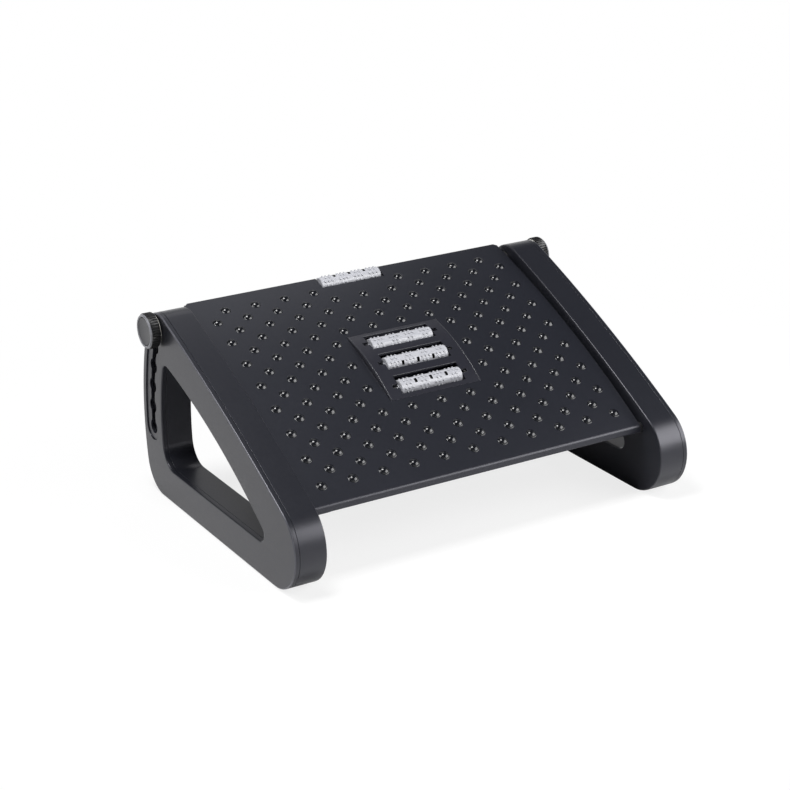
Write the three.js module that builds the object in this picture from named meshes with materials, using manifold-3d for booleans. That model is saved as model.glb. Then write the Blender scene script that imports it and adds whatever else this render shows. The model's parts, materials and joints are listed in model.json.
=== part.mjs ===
// Tilting under desk footrest: two hollow side legs carry a bumpy, convex platform. The platform turns
// on a pivot near its front edge and is locked at the rear by a knob at each side, whose stud runs in a
// curved slot with six seats. Millimetres, +Z up, +X to the right, the high edge at +Y, and the origin on
// the floor under the middle of the object.

import * as THREE from 'three';
import { mergeVertices } from 'three/addons/utils/BufferGeometryUtils.js';
import Module from 'manifold-3d';

const wasm = await Module();
wasm.setup();

// Overall sizes
const deckHalfWidth = 187.5;
const sideGap = 3.8;
const legThickness = 33.7;
const gap = 0.3;
const overrun = 2;
const facetDepth = 0.25;

// Tilt mechanism
const tiltRadius = 272;
const restTiltDeg = 24.7;
const seatPitchDeg = 4.9;
const seatCount = 6;
const pivotHeight = 71;
const pivotFromFront = 36.5;

// Leg outline: rounds at the top, front and heel, joined by bowed edges
const legTopRound = 32;
const legTopShift = 10.95;
const slotCover = 21.5;
const legHeelRound = 35;
const pivotCover = 17;
const legTopBow = 1900;
const legWall = 2.4;
const legWeb = 2.6;
const coverDepth = 5.3;
const coverFace = 2.4;

// Leg window
const rearPostWidth = 44;
const sillHeight = 36;
const windowApexDeg = 16.9;
const windowApexRound = 9.5;
const windowFrontRound = 9;
const windowHeelRound = 24;
const windowFrontInset = 62.5;
const windowTopBow = 650;

// Slot for the knob's stud, with the play of the stud and of the knob's collar in it
const seatPlay = 0.7;
const slotPlay = 0.3;
const innerSlotPlay = 0.9;
const recessHalfWidth = 14.4;
const recessDepth = 1.3;
const railWall = 2.4;
const seatEngagement = 1.5;

// Rubber feet
const footProud = 0.4;
const footSink = 1.3;
const footLength = 36;
const footWidth = 18;
const footInset = 65;

// Cover screws
const screwShank = 1.75;
const screwHead = 3.6;
const screwHeadDepth = 2.4;
const screwBoss = 5;
const screwBossCover = 4.2;
const screwPocket = 3.2;
const screwTip = 8;
const screwBossEnd = 18;

// Knobs
const knobRadius = 18.3;
const knobHeight = 11;
const knobChamfer = 1.6;
const knobTeeth = 24;
const knobToothDepth = 0.7;
const knobDishRadius = 14.6;
const knobDishDepth = 1.8;
const capThickness = 1.1;
const capDish = 0.5;
const collarRadius = 6.8;
const studRadius = 3.9;
const studHeadRadius = 6.4;
const studHeadDepth = 4;
const thrustWasher = 0.85;
const thrustWasherRadius = 16.4;

// Platform, which reaches past the knobs at the rear and past the pivot at the front
const deckBow = 1166;
const deckRearReach = 18.3;
const deckFrontReach = 2.8;
const deckRise = 10.6;
const deckLeanDeg = 0.1;
const deckPlate = 3;
const deckLip = 6.6;
const deckLipLength = 5;
const deckLipLean = 4.7;
const deckSkirt = 20;
const deckSkirtFullShare = 0.68;
const deckSkirtWall = 2.5;
const deckRearSkirt = 17;
const deckCorner = 4;
const ribDepth = 12;
const longRibDepth = 11;
const ribWall = 2;
const longRibFromCassette = 16;
const studBoss = 9.6;
const pivotBoss = 5.4;
const bossLength = 18;

// Bumps on the platform
const bumpRadius = 5;
const bumpHeight = 2.6;
const bumpTipHeight = 4;
const bumpSides = 6;
const rowCount = 16;
const rowStart = 23.36;
const rowFrontMargin = 22.45;
const bumpColumns = 10;
const bumpSideMargin = 19;

// Pivot hardware
const pivotShank = 3.2;
const pivotThread = 2;
const pivotHead = 6.4;
const pivotHeadDepth = 3.6;
const bushWall = 1.7;
const bushFlange = 7.6;
const bushFlangeDepth = 1.2;
const legPivotBoss = 8.6;
const legPivotBossDepth = 15;
const insertWall = 1.2;
const insertLength = 14;

// Roller cassette
const cassetteBow = 210;
const cassettePlate = 2.5;
const cassetteWall = 2.2;
const cassetteRim = 4.75;
const cassetteSidePocket = 5.3;
const cassetteDepth = 15.6;
const cassetteTray = 2;
const cassetteTrayLift = 0.5;
const earReach = 10;
const earWidth = 14;
const earThickness = 2.4;
const cassetteScrewBoss = 4.2;

// Rollers
const rollerRadius = 9.5;
const rollerRoot = 8.3;
const rollerTeeth = 10;
const rollerToothShare = 0.45;
const rollerHalfLength = 35.4;
const rollerSink = 5.3;
const rollerPitch = 31.8;
const rollerBore = 2.5;
const rollerEndGap = 1.5;
const axleRadius = 2;
const axleSeat = 6;
const windowRearGap = 2.6;
const windowFrontGap = 0.8;
const edgeRollerFromRear = 7;
const edgeRollerDrop = 5;
const edgeNotchGap = 1.2;
const edgeEarWall = 3.5;

const RAD = Math.PI / 180;
const shellOuter = coverDepth + gap;
const webOuter = legThickness - legWeb;
const legHalfSpan = deckHalfWidth + sideGap + legThickness;
const sideWasher = sideGap - 2 * gap;
const rearReach = tiltRadius + slotCover;
const legTopReach = rearReach - legTopRound;
const windowReach = rearReach - rearPostWidth;
const legDepth = rearReach + pivotFromFront;
const legFrontRound = (pivotHeight + pivotCover - footProud) / 2;
const pivot = [legDepth / 2 - rearReach, pivotHeight];
const seatRadius = collarRadius + seatPlay;
const slotHalfWidth = studRadius + slotPlay;
const innerSlotHalfWidth = studRadius + innerSlotPlay;

const material = (color, roughness, metalness) =>
  new THREE.MeshStandardMaterial({ color, roughness, metalness });

const finish = {
  leg: () => material(0x2b2b30, 0.5, 0),
  deck: () => material(0x1f2024, 0.45, 0),
  cassette: () => material(0x232328, 0.4, 0),
  knob: () => material(0x121214, 0.5, 0),
  cap: () => material(0x4a4a50, 0.45, 0),
  roller: () => material(0xd9dadf, 0.4, 0),
  rubber: () => material(0x0d0d0d, 0.85, 0),
  nylon: () => material(0xe4e2da, 0.5, 0),
  blackNylon: () => material(0x17171a, 0.55, 0),
  steel: () => material(0xb9bbbe, 0.3, 1),
  blackSteel: () => material(0x26262a, 0.4, 1),
  brass: () => material(0xb58a3c, 0.35, 1),
};

// Points, arcs and outlines in the side plane, where a point is [y, z]

function polar(centre, radius, angle) {
  return [centre[0] + radius * Math.cos(angle), centre[1] + radius * Math.sin(angle)];
}

function arc(centre, radius, from, to) {
  const step = 2 * Math.acos(1 - Math.min(facetDepth / radius, 1));
  const count = Math.max(1, Math.ceil(Math.abs(to - from) / step));
  const turn = (to - from) / count;
  return Array.from({ length: count + 1 }, (_, i) => polar(centre, radius, from + i * turn));
}

// One edge of a rounded outline: it touches the rounds of corners a and b from outside. A finite bow is
// the radius of the edge, and without a bow the edge is straight.
function bowedEdge(a, b) {
  const dy = b.at[0] - a.at[0];
  const dz = b.at[1] - a.at[1];
  const span = Math.hypot(dy, dz);
  const along = [dy / span, dz / span];
  if (!a.bow) {
    const lean = (a.round - b.round) / span;
    const out = Math.sqrt(1 - lean * lean);
    const normal = Math.atan2(along[1] * lean - along[0] * out, along[0] * lean + along[1] * out);
    return { centre: null, from: normal, to: normal };
  }
  const reachA = a.bow - a.round;
  const reachB = a.bow - b.round;
  const forward = (reachA * reachA - reachB * reachB + span * span) / (2 * span);
  const inward = Math.sqrt(reachA * reachA - forward * forward);
  const centre = [
    a.at[0] + forward * along[0] - inward * along[1],
    a.at[1] + forward * along[1] + inward * along[0],
  ];
  const angleTo = (corner) => Math.atan2(corner.at[1] - centre[1], corner.at[0] - centre[0]);
  return { centre, from: angleTo(a), to: angleTo(b) };
}

// A closed outline, anticlockwise, through rounded corners; offset moves the whole of it outwards
function roundedLoop(corners, offset = 0) {
  const edges = corners.map((corner, i) => bowedEdge(corner, corners[(i + 1) % corners.length]));
  const points = [];
  corners.forEach((corner, i) => {
    const before = edges[(i + corners.length - 1) % corners.length];
    const after = edges[i];
    const end = after.from + (after.from < before.to ? 2 * Math.PI : 0);
    points.push(...arc(corner.at, corner.round + offset, before.to, end));
    if (after.centre) {
      const last = after.to + (after.to < after.from ? 2 * Math.PI : 0);
      points.push(...arc(after.centre, corner.bow + offset, after.from, last).slice(1, -1));
    }
  });
  return points;
}

// A band of one width along the slot's arc about the pivot, with round ends
function slotBand(halfWidth) {
  const top = restTiltDeg * RAD;
  const bottom = (restTiltDeg - (seatCount - 1) * seatPitchDeg) * RAD;
  return [
    ...arc(pivot, tiltRadius + halfWidth, bottom, top),
    ...arc(polar(pivot, tiltRadius, top), halfWidth, top, top + Math.PI).slice(1, -1),
    ...arc(pivot, tiltRadius - halfWidth, top, bottom),
    ...arc(polar(pivot, tiltRadius, bottom), halfWidth, bottom - Math.PI, bottom).slice(1, -1),
  ];
}

// Solids

function signedVolume(vertices, triangles) {
  const corner = (i) => new THREE.Vector3().fromArray(vertices, 3 * triangles[i]);
  let sum = 0;
  for (let i = 0; i < triangles.length; i += 3) {
    sum += corner(i).dot(corner(i + 1).cross(corner(i + 2)));
  }
  return sum;
}

function toSolid(geometry) {
  geometry.deleteAttribute('normal');
  geometry.deleteAttribute('uv');
  const merged = mergeVertices(geometry);
  const vertProperties = Float32Array.from(merged.getAttribute('position').array);
  const triVerts = Uint32Array.from(merged.getIndex().array);
  if (signedVolume(vertProperties, triVerts) < 0) {
    for (let i = 0; i < triVerts.length; i += 3) {
      [triVerts[i], triVerts[i + 1]] = [triVerts[i + 1], triVerts[i]];
    }
  }
  return new wasm.Manifold(new wasm.Mesh({ numProp: 3, vertProperties, triVerts }));
}

// Turns a shape drawn in the side plane and pushed along its own z into the object's frame
const sidePlane = new THREE.Matrix4().set(0, 0, 1, 0, 1, 0, 0, 0, 0, 1, 0, 0, 0, 0, 0, 1);

function pushX(points, x0, x1) {
  const shape = new THREE.Shape(points.map(([y, z]) => new THREE.Vector2(y, z)));
  const low = Math.min(x0, x1);
  const geometry = new THREE.ExtrudeGeometry(shape, { depth: Math.abs(x1 - x0), bevelEnabled: false });
  geometry.translate(0, 0, low);
  geometry.applyMatrix4(sidePlane);
  return toSolid(geometry);
}

// A turned piece: profile points are [radius, distance along the axis], and the axis goes from the
// point at, along the direction given
function turned(profile, at, direction, sides) {
  const geometry = new THREE.LatheGeometry(profile.map(([r, h]) => new THREE.Vector2(r, h)), sides);
  const turn = new THREE.Quaternion().setFromUnitVectors(new THREE.Vector3(0, 1, 0), direction);
  geometry.applyQuaternion(turn);
  geometry.translate(...at);
  return toSolid(geometry);
}

function rod(radius, at, direction, length, sides) {
  return turned([[0, 0], [radius, 0], [radius, length], [0, length]], at, direction, sides);
}

function tube(outer, inner, at, direction, length, sides) {
  const profile = [[inner, 0], [outer, 0], [outer, length], [inner, length], [inner, 0]];
  return turned(profile, at, direction, sides);
}

function toMesh(name, solid, surface) {
  const { vertProperties, triVerts } = solid.getMesh();
  const geometry = new THREE.BufferGeometry();
  geometry.setAttribute('position', new THREE.BufferAttribute(Float32Array.from(vertProperties), 3));
  geometry.setIndex(new THREE.BufferAttribute(Uint32Array.from(triVerts), 1));
  geometry.computeVertexNormals();
  const mesh = new THREE.Mesh(geometry, surface);
  mesh.name = name;
  return mesh;
}

// Which way each side faces, and the place x of a depth measured inwards from a leg's outer face
const sides = { left: -1, right: 1 };
const xAt = (side, depth) => side * (legHalfSpan - depth);
const outward = (side) => new THREE.Vector3(side, 0, 0);
const inward = (side) => new THREE.Vector3(-side, 0, 0);
const coarse = 8;
const medium = 12;
const fine = 24;
const cornerSides = 4;

// Outlines of the leg and its window

const top = restTiltDeg * RAD;
const knobAxis = polar(pivot, tiltRadius, top);

// Centre of a round that touches the arc of the given reach about the pivot, at a given height
function underArc(reach, round, height) {
  const radius = reach - round;
  const rise = height - pivot[1];
  return [pivot[0] + Math.sqrt(radius * radius - rise * rise), height];
}

const legCorners = [
  { at: polar(pivot, legTopReach, top - legTopShift / legTopReach), round: legTopRound, bow: legTopBow },
  { at: [legFrontRound - legDepth / 2, footProud + legFrontRound], round: legFrontRound },
  { at: underArc(rearReach, legHeelRound, footProud + legHeelRound), round: legHeelRound, bow: rearReach },
];

const windowCorners = [
  {
    at: polar(pivot, windowReach - windowApexRound, windowApexDeg * RAD),
    round: windowApexRound,
    bow: windowTopBow,
  },
  {
    at: [windowFrontInset + windowFrontRound - legDepth / 2, sillHeight + windowFrontRound],
    round: windowFrontRound,
  },
  {
    at: underArc(windowReach, windowHeelRound, sillHeight + windowHeelRound),
    round: windowHeelRound,
    bow: windowReach,
  },
];

// Where the cover screws stand, each in the middle of the bar or post that holds it
const heelRound = legCorners[2];
const barHalf = (sillHeight - footProud) / 2;
const screwPlaces = [
  [heelRound.at[0] + legHeelRound / 4, footProud + barHalf],
  [windowCorners[1].at[0] + legDepth / 3, footProud + barHalf],
  [windowCorners[1].at[0], pivot[1] + slotCover / 2],
  [pivot[0] + tiltRadius / 2, pivot[1] + (tiltRadius / 2) * Math.tan(top) + slotCover / 4],
];

function legShell(side) {
  const push = (points, from, to) => pushX(points, xAt(side, from), xAt(side, to));
  let hollow = push(roundedLoop(legCorners, -legWall), shellOuter - overrun, webOuter);
  hollow = hollow.subtract(push(roundedLoop(windowCorners, legWall), shellOuter - overrun, legThickness));
  hollow = hollow.subtract(push(slotBand(innerSlotHalfWidth + railWall), shellOuter, legThickness));
  const bossStart = legThickness - legPivotBossDepth;
  const bossAt = [xAt(side, bossStart), ...pivot];
  hollow = hollow.subtract(rod(legPivotBoss, bossAt, inward(side), legPivotBossDepth, medium));
  for (const place of screwPlaces) {
    const at = [xAt(side, screwBossEnd + gap), ...place];
    hollow = hollow.subtract(rod(screwBoss, at, inward(side), legThickness - screwBossEnd, coarse));
  }
  let shell = push(roundedLoop(legCorners), shellOuter, legThickness).subtract(hollow);
  shell = shell.subtract(push(roundedLoop(windowCorners), -overrun, legThickness + overrun));
  shell = shell.subtract(push(slotBand(innerSlotHalfWidth), -overrun, legThickness + overrun));
  const bushBore = pivotShank + gap + bushWall + gap;
  const boreAt = [xAt(side, 0), ...pivot];
  shell = shell.subtract(rod(bushBore, boreAt, inward(side), legThickness + overrun, medium));
  for (const place of screwPlaces) {
    const at = [xAt(side, 0), ...place];
    const pocketAt = [xAt(side, legThickness - screwPocket), ...place];
    shell = shell.subtract(rod(screwShank + gap, at, inward(side), legThickness, coarse));
    shell = shell.subtract(rod(screwHead + gap, pocketAt, inward(side), screwPocket + overrun, coarse));
  }
  for (const foot of Object.keys(footPlaces)) {
    shell = shell.subtract(footBlock(side, foot, gap, footProud + footSink));
  }
  return shell;
}

function legCover(side) {
  const push = (points, from, to) => pushX(points, xAt(side, from), xAt(side, to));
  let hollow = push(roundedLoop(legCorners, -legWall), coverFace, coverDepth + overrun);
  hollow = hollow.subtract(push(roundedLoop(windowCorners, legWall), 0, coverDepth + overrun));
  hollow = hollow.subtract(push(slotBand(recessHalfWidth + railWall), 0, coverDepth + overrun));
  let cover = push(roundedLoop(legCorners), 0, coverDepth).subtract(hollow);
  for (const place of screwPlaces) {
    const at = [xAt(side, coverFace / 2), ...place];
    cover = cover.add(rod(screwBossCover, at, inward(side), screwBossEnd - coverFace / 2, coarse));
  }
  cover = cover.subtract(push(roundedLoop(windowCorners), -overrun, coverDepth + overrun));
  cover = cover.subtract(push(slotBand(recessHalfWidth), -overrun, recessDepth));
  cover = cover.subtract(push(slotBand(slotHalfWidth), 0, coverDepth + overrun));
  for (let i = 0; i < seatCount; i += 1) {
    const seatAt = [xAt(side, 0), ...polar(pivot, tiltRadius, top - i * seatPitchDeg * RAD)];
    cover = cover.subtract(rod(seatRadius, seatAt, inward(side), coverDepth + overrun, medium));
  }
  for (const place of screwPlaces) {
    const at = [xAt(side, screwTip - overrun), ...place];
    cover = cover.subtract(rod(screwShank + gap, at, inward(side), screwBossEnd, coarse));
  }
  return cover;
}

// A foot is a pad with round ends, let into the bottom of the shell
const footPlaces = { front: footInset - legDepth / 2, rear: legDepth / 2 - footInset };

function footBlock(side, place, ease, height) {
  const half = footWidth / 2 + ease;
  const reach = footLength / 2 - footWidth / 2;
  const x = xAt(side, (shellOuter + legThickness) / 2);
  const y = footPlaces[place];
  const outline = [
    ...arc([x, y + reach], half, 0, Math.PI),
    ...arc([x, y - reach], half, Math.PI, 2 * Math.PI),
  ];
  const shape = new THREE.Shape(outline.map(([px, py]) => new THREE.Vector2(px, py)));
  return toSolid(new THREE.ExtrudeGeometry(shape, { depth: height, bevelEnabled: false }));
}

// A screw goes from under its head at the point at, along the direction given
function screw(at, direction, length) {
  const profile = [
    [0, -screwHeadDepth],
    [screwHead, -screwHeadDepth],
    [screwHead, 0],
    [screwShank, 0],
    [screwShank, length],
    [0, length],
  ];
  return turned(profile, at, direction, coarse);
}

function coverScrew(side, place) {
  const seat = legThickness - screwPocket + gap;
  return screw([xAt(side, seat), ...place], outward(side), seat - screwTip);
}

// Front pivot hardware

function pivotBolt(side) {
  const seat = legThickness - legPivotBossDepth - bushFlangeDepth - 2 * gap;
  const shoulderEnd = legThickness + sideGap - gap;
  const threadEnd = shoulderEnd + gap + insertLength;
  const profile = [
    [0, seat - pivotHeadDepth],
    [pivotHead, seat - pivotHeadDepth],
    [pivotHead, seat],
    [pivotShank, seat],
    [pivotShank, shoulderEnd],
    [pivotThread, shoulderEnd],
    [pivotThread, threadEnd],
    [0, threadEnd],
  ];
  return turned(profile, [xAt(side, 0), ...pivot], inward(side), medium);
}

function pivotBush(side) {
  const bore = pivotShank + gap;
  const body = bore + bushWall;
  const start = legThickness - legPivotBossDepth;
  const profile = [
    [bore, start - gap - bushFlangeDepth],
    [bushFlange, start - gap - bushFlangeDepth],
    [bushFlange, start - gap],
    [body, start - gap],
    [body, legThickness],
    [bore, legThickness],
    [bore, start - gap - bushFlangeDepth],
  ];
  return turned(profile, [xAt(side, 0), ...pivot], inward(side), medium);
}

function spacerWasher(side, place, bore, radius) {
  const at = [xAt(side, legThickness + gap), ...place];
  return tube(radius, bore + gap, at, inward(side), sideWasher, medium);
}

function threadedInsert(side, place, bore) {
  const at = [side * deckHalfWidth, ...place];
  return tube(bore + gap + insertWall, bore + gap, at, inward(side), insertLength, medium);
}

// Locking knob, shown slackened by the travel that lifts its collar out of a seat

const knobBase = -(seatEngagement + gap / 2 + thrustWasher + gap / 2);
const studSeat = knobBase - knobHeight + knobDishDepth + studHeadDepth;
const studEnd = legThickness + sideGap + insertLength - seatEngagement;

function knobOutline(radius) {
  const points = [];
  for (let i = 0; i < knobTeeth; i += 1) {
    const middle = (2 * Math.PI * i) / knobTeeth;
    const quarter = Math.PI / (2 * knobTeeth);
    points.push(polar(knobAxis, radius - knobToothDepth, middle - quarter));
    points.push(polar(knobAxis, radius, middle + quarter));
  }
  return points;
}

function knob(side) {
  const outer = knobBase - knobHeight;
  const rimRadius = knobRadius + knobChamfer;
  const collarLength = recessDepth - gap / 2 - knobBase;
  const at = (depth) => [xAt(side, depth), ...knobAxis];
  const way = inward(side);
  const envelope = [
    [0, outer],
    [knobRadius - knobChamfer, outer],
    [rimRadius, outer + 2 * knobChamfer],
    [rimRadius, knobBase],
    [0, knobBase],
  ];
  let body = pushX(knobOutline(knobRadius), xAt(side, outer), xAt(side, knobBase));
  body = body.intersect(turned(envelope, at(0), way, fine));
  body = body.add(rod(collarRadius, at(knobBase - gap), way, collarLength + gap, medium));
  body = body.subtract(rod(knobDishRadius, at(outer - overrun), way, overrun + knobDishDepth, fine));
  body = body.subtract(rod(studHeadRadius + gap, at(outer), way, knobDishDepth + studHeadDepth, medium));
  return body.subtract(rod(studRadius + gap, at(outer), way, knobHeight + collarLength + overrun, medium));
}

function knobCap(side) {
  const back = knobBase - knobHeight + knobDishDepth - gap;
  const profile = [
    [0, back],
    [knobDishRadius - gap, back],
    [knobDishRadius - gap, back - capThickness],
    [knobDishRadius / 2, back - capThickness + capDish],
    [0, back - capThickness + capDish],
  ];
  return turned(profile, [xAt(side, 0), ...knobAxis], inward(side), fine);
}

function knobStud(side) {
  const headStart = studSeat - studHeadDepth + gap;
  const profile = [
    [0, headStart],
    [studHeadRadius, headStart],
    [studHeadRadius, studSeat - gap],
    [studRadius, studSeat - gap],
    [studRadius, studEnd],
    [0, studEnd],
  ];
  return turned(profile, [xAt(side, 0), ...knobAxis], inward(side), medium);
}

function knobWasher(side) {
  const at = [xAt(side, knobBase + gap / 2), ...knobAxis];
  return tube(thrustWasherRadius, collarRadius + gap, at, inward(side), thrustWasher, medium);
}

// Platform. A place on its convex top is the distance s along it from the rear edge, and a height h
// square to it.

const rearSlope = (restTiltDeg - deckLeanDeg) * RAD - Math.asin(tiltRadius / 2 / deckBow);
const deckFall = deckBow - deckRise;
const deckCentre = [
  knobAxis[0] + deckRearReach * Math.cos(rearSlope) + deckFall * Math.sin(rearSlope),
  knobAxis[1] + deckRearReach * Math.sin(rearSlope) - deckFall * Math.cos(rearSlope),
];

const deckAngle = (s) => Math.PI / 2 + rearSlope + s / deckBow;
const deckPoint = (s, h) => polar(deckCentre, deckBow + h, deckAngle(s));
const deckUp = (s) => new THREE.Vector3(0, Math.cos(deckAngle(s)), Math.sin(deckAngle(s)));

// Distance along the platform of the place under or over a point of the side plane
const alongDeck = ([y, z]) =>
  (Math.atan2(z - deckCentre[1], y - deckCentre[0]) - Math.PI / 2 - rearSlope) * deckBow;

const deckLength = alongDeck(pivot) + deckFrontReach;
const deckSkirtFull = deckSkirtFullShare * deckLength;
const rowPitch = (deckLength - rowStart - rowFrontMargin) / (rowCount - 1);
const bumpPitch = (2 * (deckHalfWidth - bumpSideMargin)) / bumpColumns;

// The platform's curve at one height, from s0 towards the front edge at s1. Its flats are two rows of
// bumps long and meet between rows, so that each bump stands on one flat.
function deckCurve(s0, s1, h) {
  const inside = [];
  for (let s = rowStart - rowPitch / 2; s < s1; s += 2 * rowPitch) {
    if (s > s0) {
      inside.push(s);
    }
  }
  return [s0, ...inside, s1].map((s) => deckPoint(s, h));
}

// The part of the platform between two places along it, two heights and two sides
function deckBlock(s0, s1, h0, h1, x0, x1) {
  return pushX([...deckCurve(s0, s1, h1), ...deckCurve(s0, s1, h0).reverse()], x0, x1);
}

// The rear roller's notch, and the cassette in the middle of the platform, round three rollers
const edgeRollerAt = deckPoint(edgeRollerFromRear, -edgeRollerDrop);
const edgeNotchEnd = edgeRollerFromRear + rollerRadius + edgeNotchGap;
const notchHalf = rollerHalfLength + rollerEndGap;
const axleHalf = notchHalf + axleSeat;
const windowLength = windowRearGap + 2 * rollerRadius + windowFrontGap;
const cassetteHalfWidth = axleHalf + cassetteSidePocket + 2 * cassetteWall;
const cassetteLength = 2 * (rollerPitch + cassetteRim) + windowLength;
const cassetteRear = (deckLength - cassetteLength) / 2;
const cassetteFront = cassetteRear + cassetteLength;

const earOffset = cassetteHalfWidth + 2 * gap + cassetteScrewBoss;
const earPlaces = [-1, 1].flatMap((side) =>
  [cassetteRear + earWidth, cassetteFront - earWidth].map((s) => ({ x: side * earOffset, s })));

// The plate with its front lip and its rear skirt, as one outline pushed across the platform
function deckPlateSolid() {
  const lipStart = deckLength - deckLipLength;
  const outline = [
    ...deckCurve(0, deckLength, 0),
    deckPoint(deckLength + deckLipLean, -deckLip),
    deckPoint(lipStart + deckLipLean, -deckLip),
    ...deckCurve(deckSkirtWall, lipStart, -deckPlate).reverse(),
    deckPoint(deckSkirtWall, -deckRearSkirt),
    deckPoint(0, -deckRearSkirt),
  ];
  return pushX(outline, -deckHalfWidth, deckHalfWidth);
}

function deckSkirts(side) {
  const pivotS = alongDeck(pivot);
  const pivotDrop = deckBow - Math.hypot(pivot[0] - deckCentre[0], pivot[1] - deckCentre[1]);
  const rear = deckSkirtWall / 2;
  const front = deckLength - deckLipLength / 2;
  const outline = [
    ...deckCurve(rear, front, -deckPlate / 2),
    deckPoint(pivotS - pivotBoss / 2, -pivotDrop - pivotBoss / 2),
    ...deckCurve(rear, deckSkirtFull, -deckSkirt).reverse(),
  ];
  const inside = side * (deckHalfWidth - bossLength);
  let wall = pushX(outline, side * (deckHalfWidth - deckSkirtWall), side * deckHalfWidth);
  wall = wall.add(rod(pivotBoss, [inside, ...pivot], outward(side), bossLength, medium));
  return wall.add(rod(studBoss, [inside, ...knobAxis], outward(side), bossLength, medium));
}

// Tests whether a bump would stand on the cassette or on the notch for the rear roller
function bumpIsFree(x, s) {
  const margin = bumpRadius + gap;
  const onCassette =
    Math.abs(x) < cassetteHalfWidth + margin && s > cassetteRear - margin && s < cassetteFront + margin;
  const onNotch = Math.abs(x) < notchHalf + margin && s < edgeNotchEnd + 2 * margin;
  return !onCassette && !onNotch;
}

function bumpPlaces() {
  const places = [];
  for (let row = 0; row < rowCount; row += 1) {
    const s = rowStart + row * rowPitch;
    const count = bumpColumns + (row % 2);
    for (let i = 0; i < count; i += 1) {
      const x = (i - (count - 1) / 2) * bumpPitch;
      if (bumpIsFree(x, s)) {
        places.push({ x, s });
      }
    }
  }
  return places;
}

// A bump is a cone whose tip is cut off level with the other bumps
function bump({ x, s }) {
  const sink = deckPlate / 2;
  const root = bumpRadius * (1 + sink / bumpTipHeight);
  const at = [x, ...deckPoint(s, 0)];
  return turned([[0, -sink], [root, -sink], [0, bumpTipHeight]], at, deckUp(s), bumpSides);
}

const screwBossEndH = -(cassetteDepth - earThickness - gap);

function platformDeck() {
  const half = deckHalfWidth;
  const under = -deckPlate / 2;
  const ribStart = deckSkirtWall / 2;
  const ribEnd = deckLength - 3 * deckLipLength;
  const ribReach = half - deckSkirtWall / 2;
  let deck = deckPlateSolid().add(deckSkirts(sides.left)).add(deckSkirts(sides.right));
  for (const s of [cassetteRear - earWidth, cassetteFront + earWidth]) {
    deck = deck.add(deckBlock(s, s + ribWall, -ribDepth, under, -ribReach, ribReach));
  }
  const nearRib = cassetteHalfWidth + longRibFromCassette;
  const farRib = (nearRib + half) / 2;
  for (const x of [-farRib, -nearRib, nearRib, farRib]) {
    deck = deck.add(deckBlock(ribStart, ribEnd, -longRibDepth, under, x - ribWall / 2, x + ribWall / 2));
  }
  const ear = notchHalf + edgeEarWall;
  const earEnd = edgeRollerFromRear + axleSeat;
  deck = deck.add(deckBlock(ribStart, earEnd, -edgeRollerDrop - axleSeat, under, -ear, ear));
  for (const { x, s } of earPlaces) {
    const at = [x, ...deckPoint(s, screwBossEndH)];
    deck = deck.add(rod(cassetteScrewBoss, at, deckUp(s), under - screwBossEndH, coarse));
  }
  for (const place of bumpPlaces()) {
    deck = deck.add(bump(place));
  }
  const end = deckLength + overrun;
  deck = deck.subtract(deckBlock(-overrun, end, bumpHeight, 2 * bumpTipHeight, -half, half));

  const notchDepth = deckSkirt + overrun;
  deck = deck.subtract(deckBlock(-overrun, edgeNotchEnd, -notchDepth, overrun, -notchHalf, notchHalf));
  const axleAt = [-ear - overrun, ...edgeRollerAt];
  deck = deck.subtract(rod(axleRadius + gap, axleAt, outward(1), 2 * (ear + overrun), coarse));
  const open = cassetteHalfWidth + gap;
  deck = deck.subtract(
    deckBlock(cassetteRear - gap, cassetteFront + gap, -deckPlate - overrun, overrun, -open, open));
  for (const { x, s } of earPlaces) {
    const at = [x, ...deckPoint(s, screwBossEndH - overrun)];
    deck = deck.subtract(rod(screwShank + gap, at, deckUp(s), overrun + under - screwBossEndH, coarse));
  }
  const pivotHole = pivotThread + gap + insertWall + gap;
  const studHole = studRadius + gap + insertWall + gap;
  const holeDepth = insertLength + gap + overrun;
  const cornerLength = deckSkirt + 2 * overrun;
  for (const side of Object.values(sides)) {
    const from = side * (half - insertLength - gap);
    deck = deck.subtract(rod(pivotHole, [from, ...pivot], outward(side), holeDepth, medium));
    deck = deck.subtract(rod(studHole, [from, ...knobAxis], outward(side), holeDepth, medium));
    const cornerAt = [side * half, ...deckPoint(0, -deckSkirt - overrun)];
    deck = deck.subtract(rod(deckCorner, cornerAt, deckUp(0), cornerLength, cornerSides));
  }
  return deck;
}

// Roller cassette. Its top bulges over the platform between its own front and rear edges, and a place
// on it is the distance t along it from its middle, and a height h square to it.

const cassetteEnds = [deckPoint(cassetteRear, 0), deckPoint(cassetteFront, 0)];
const cassetteChord = [cassetteEnds[1][0] - cassetteEnds[0][0], cassetteEnds[1][1] - cassetteEnds[0][1]];
const cassetteHalf = Math.hypot(...cassetteChord) / 2;
const cassetteTilt = Math.atan2(-cassetteChord[1], -cassetteChord[0]);
const cassetteFall = Math.sqrt(cassetteBow * cassetteBow - cassetteHalf * cassetteHalf);
const cassetteCentre = [
  (cassetteEnds[0][0] + cassetteEnds[1][0]) / 2 + cassetteFall * Math.sin(cassetteTilt),
  (cassetteEnds[0][1] + cassetteEnds[1][1]) / 2 - cassetteFall * Math.cos(cassetteTilt),
];
const cassetteReach = Math.asin(cassetteHalf / cassetteBow);

const cassetteAngle = (t) => Math.PI / 2 + cassetteTilt + t / cassetteBow;
const cassettePoint = (t, h) => polar(cassetteCentre, cassetteBow + h, cassetteAngle(t));

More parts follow.
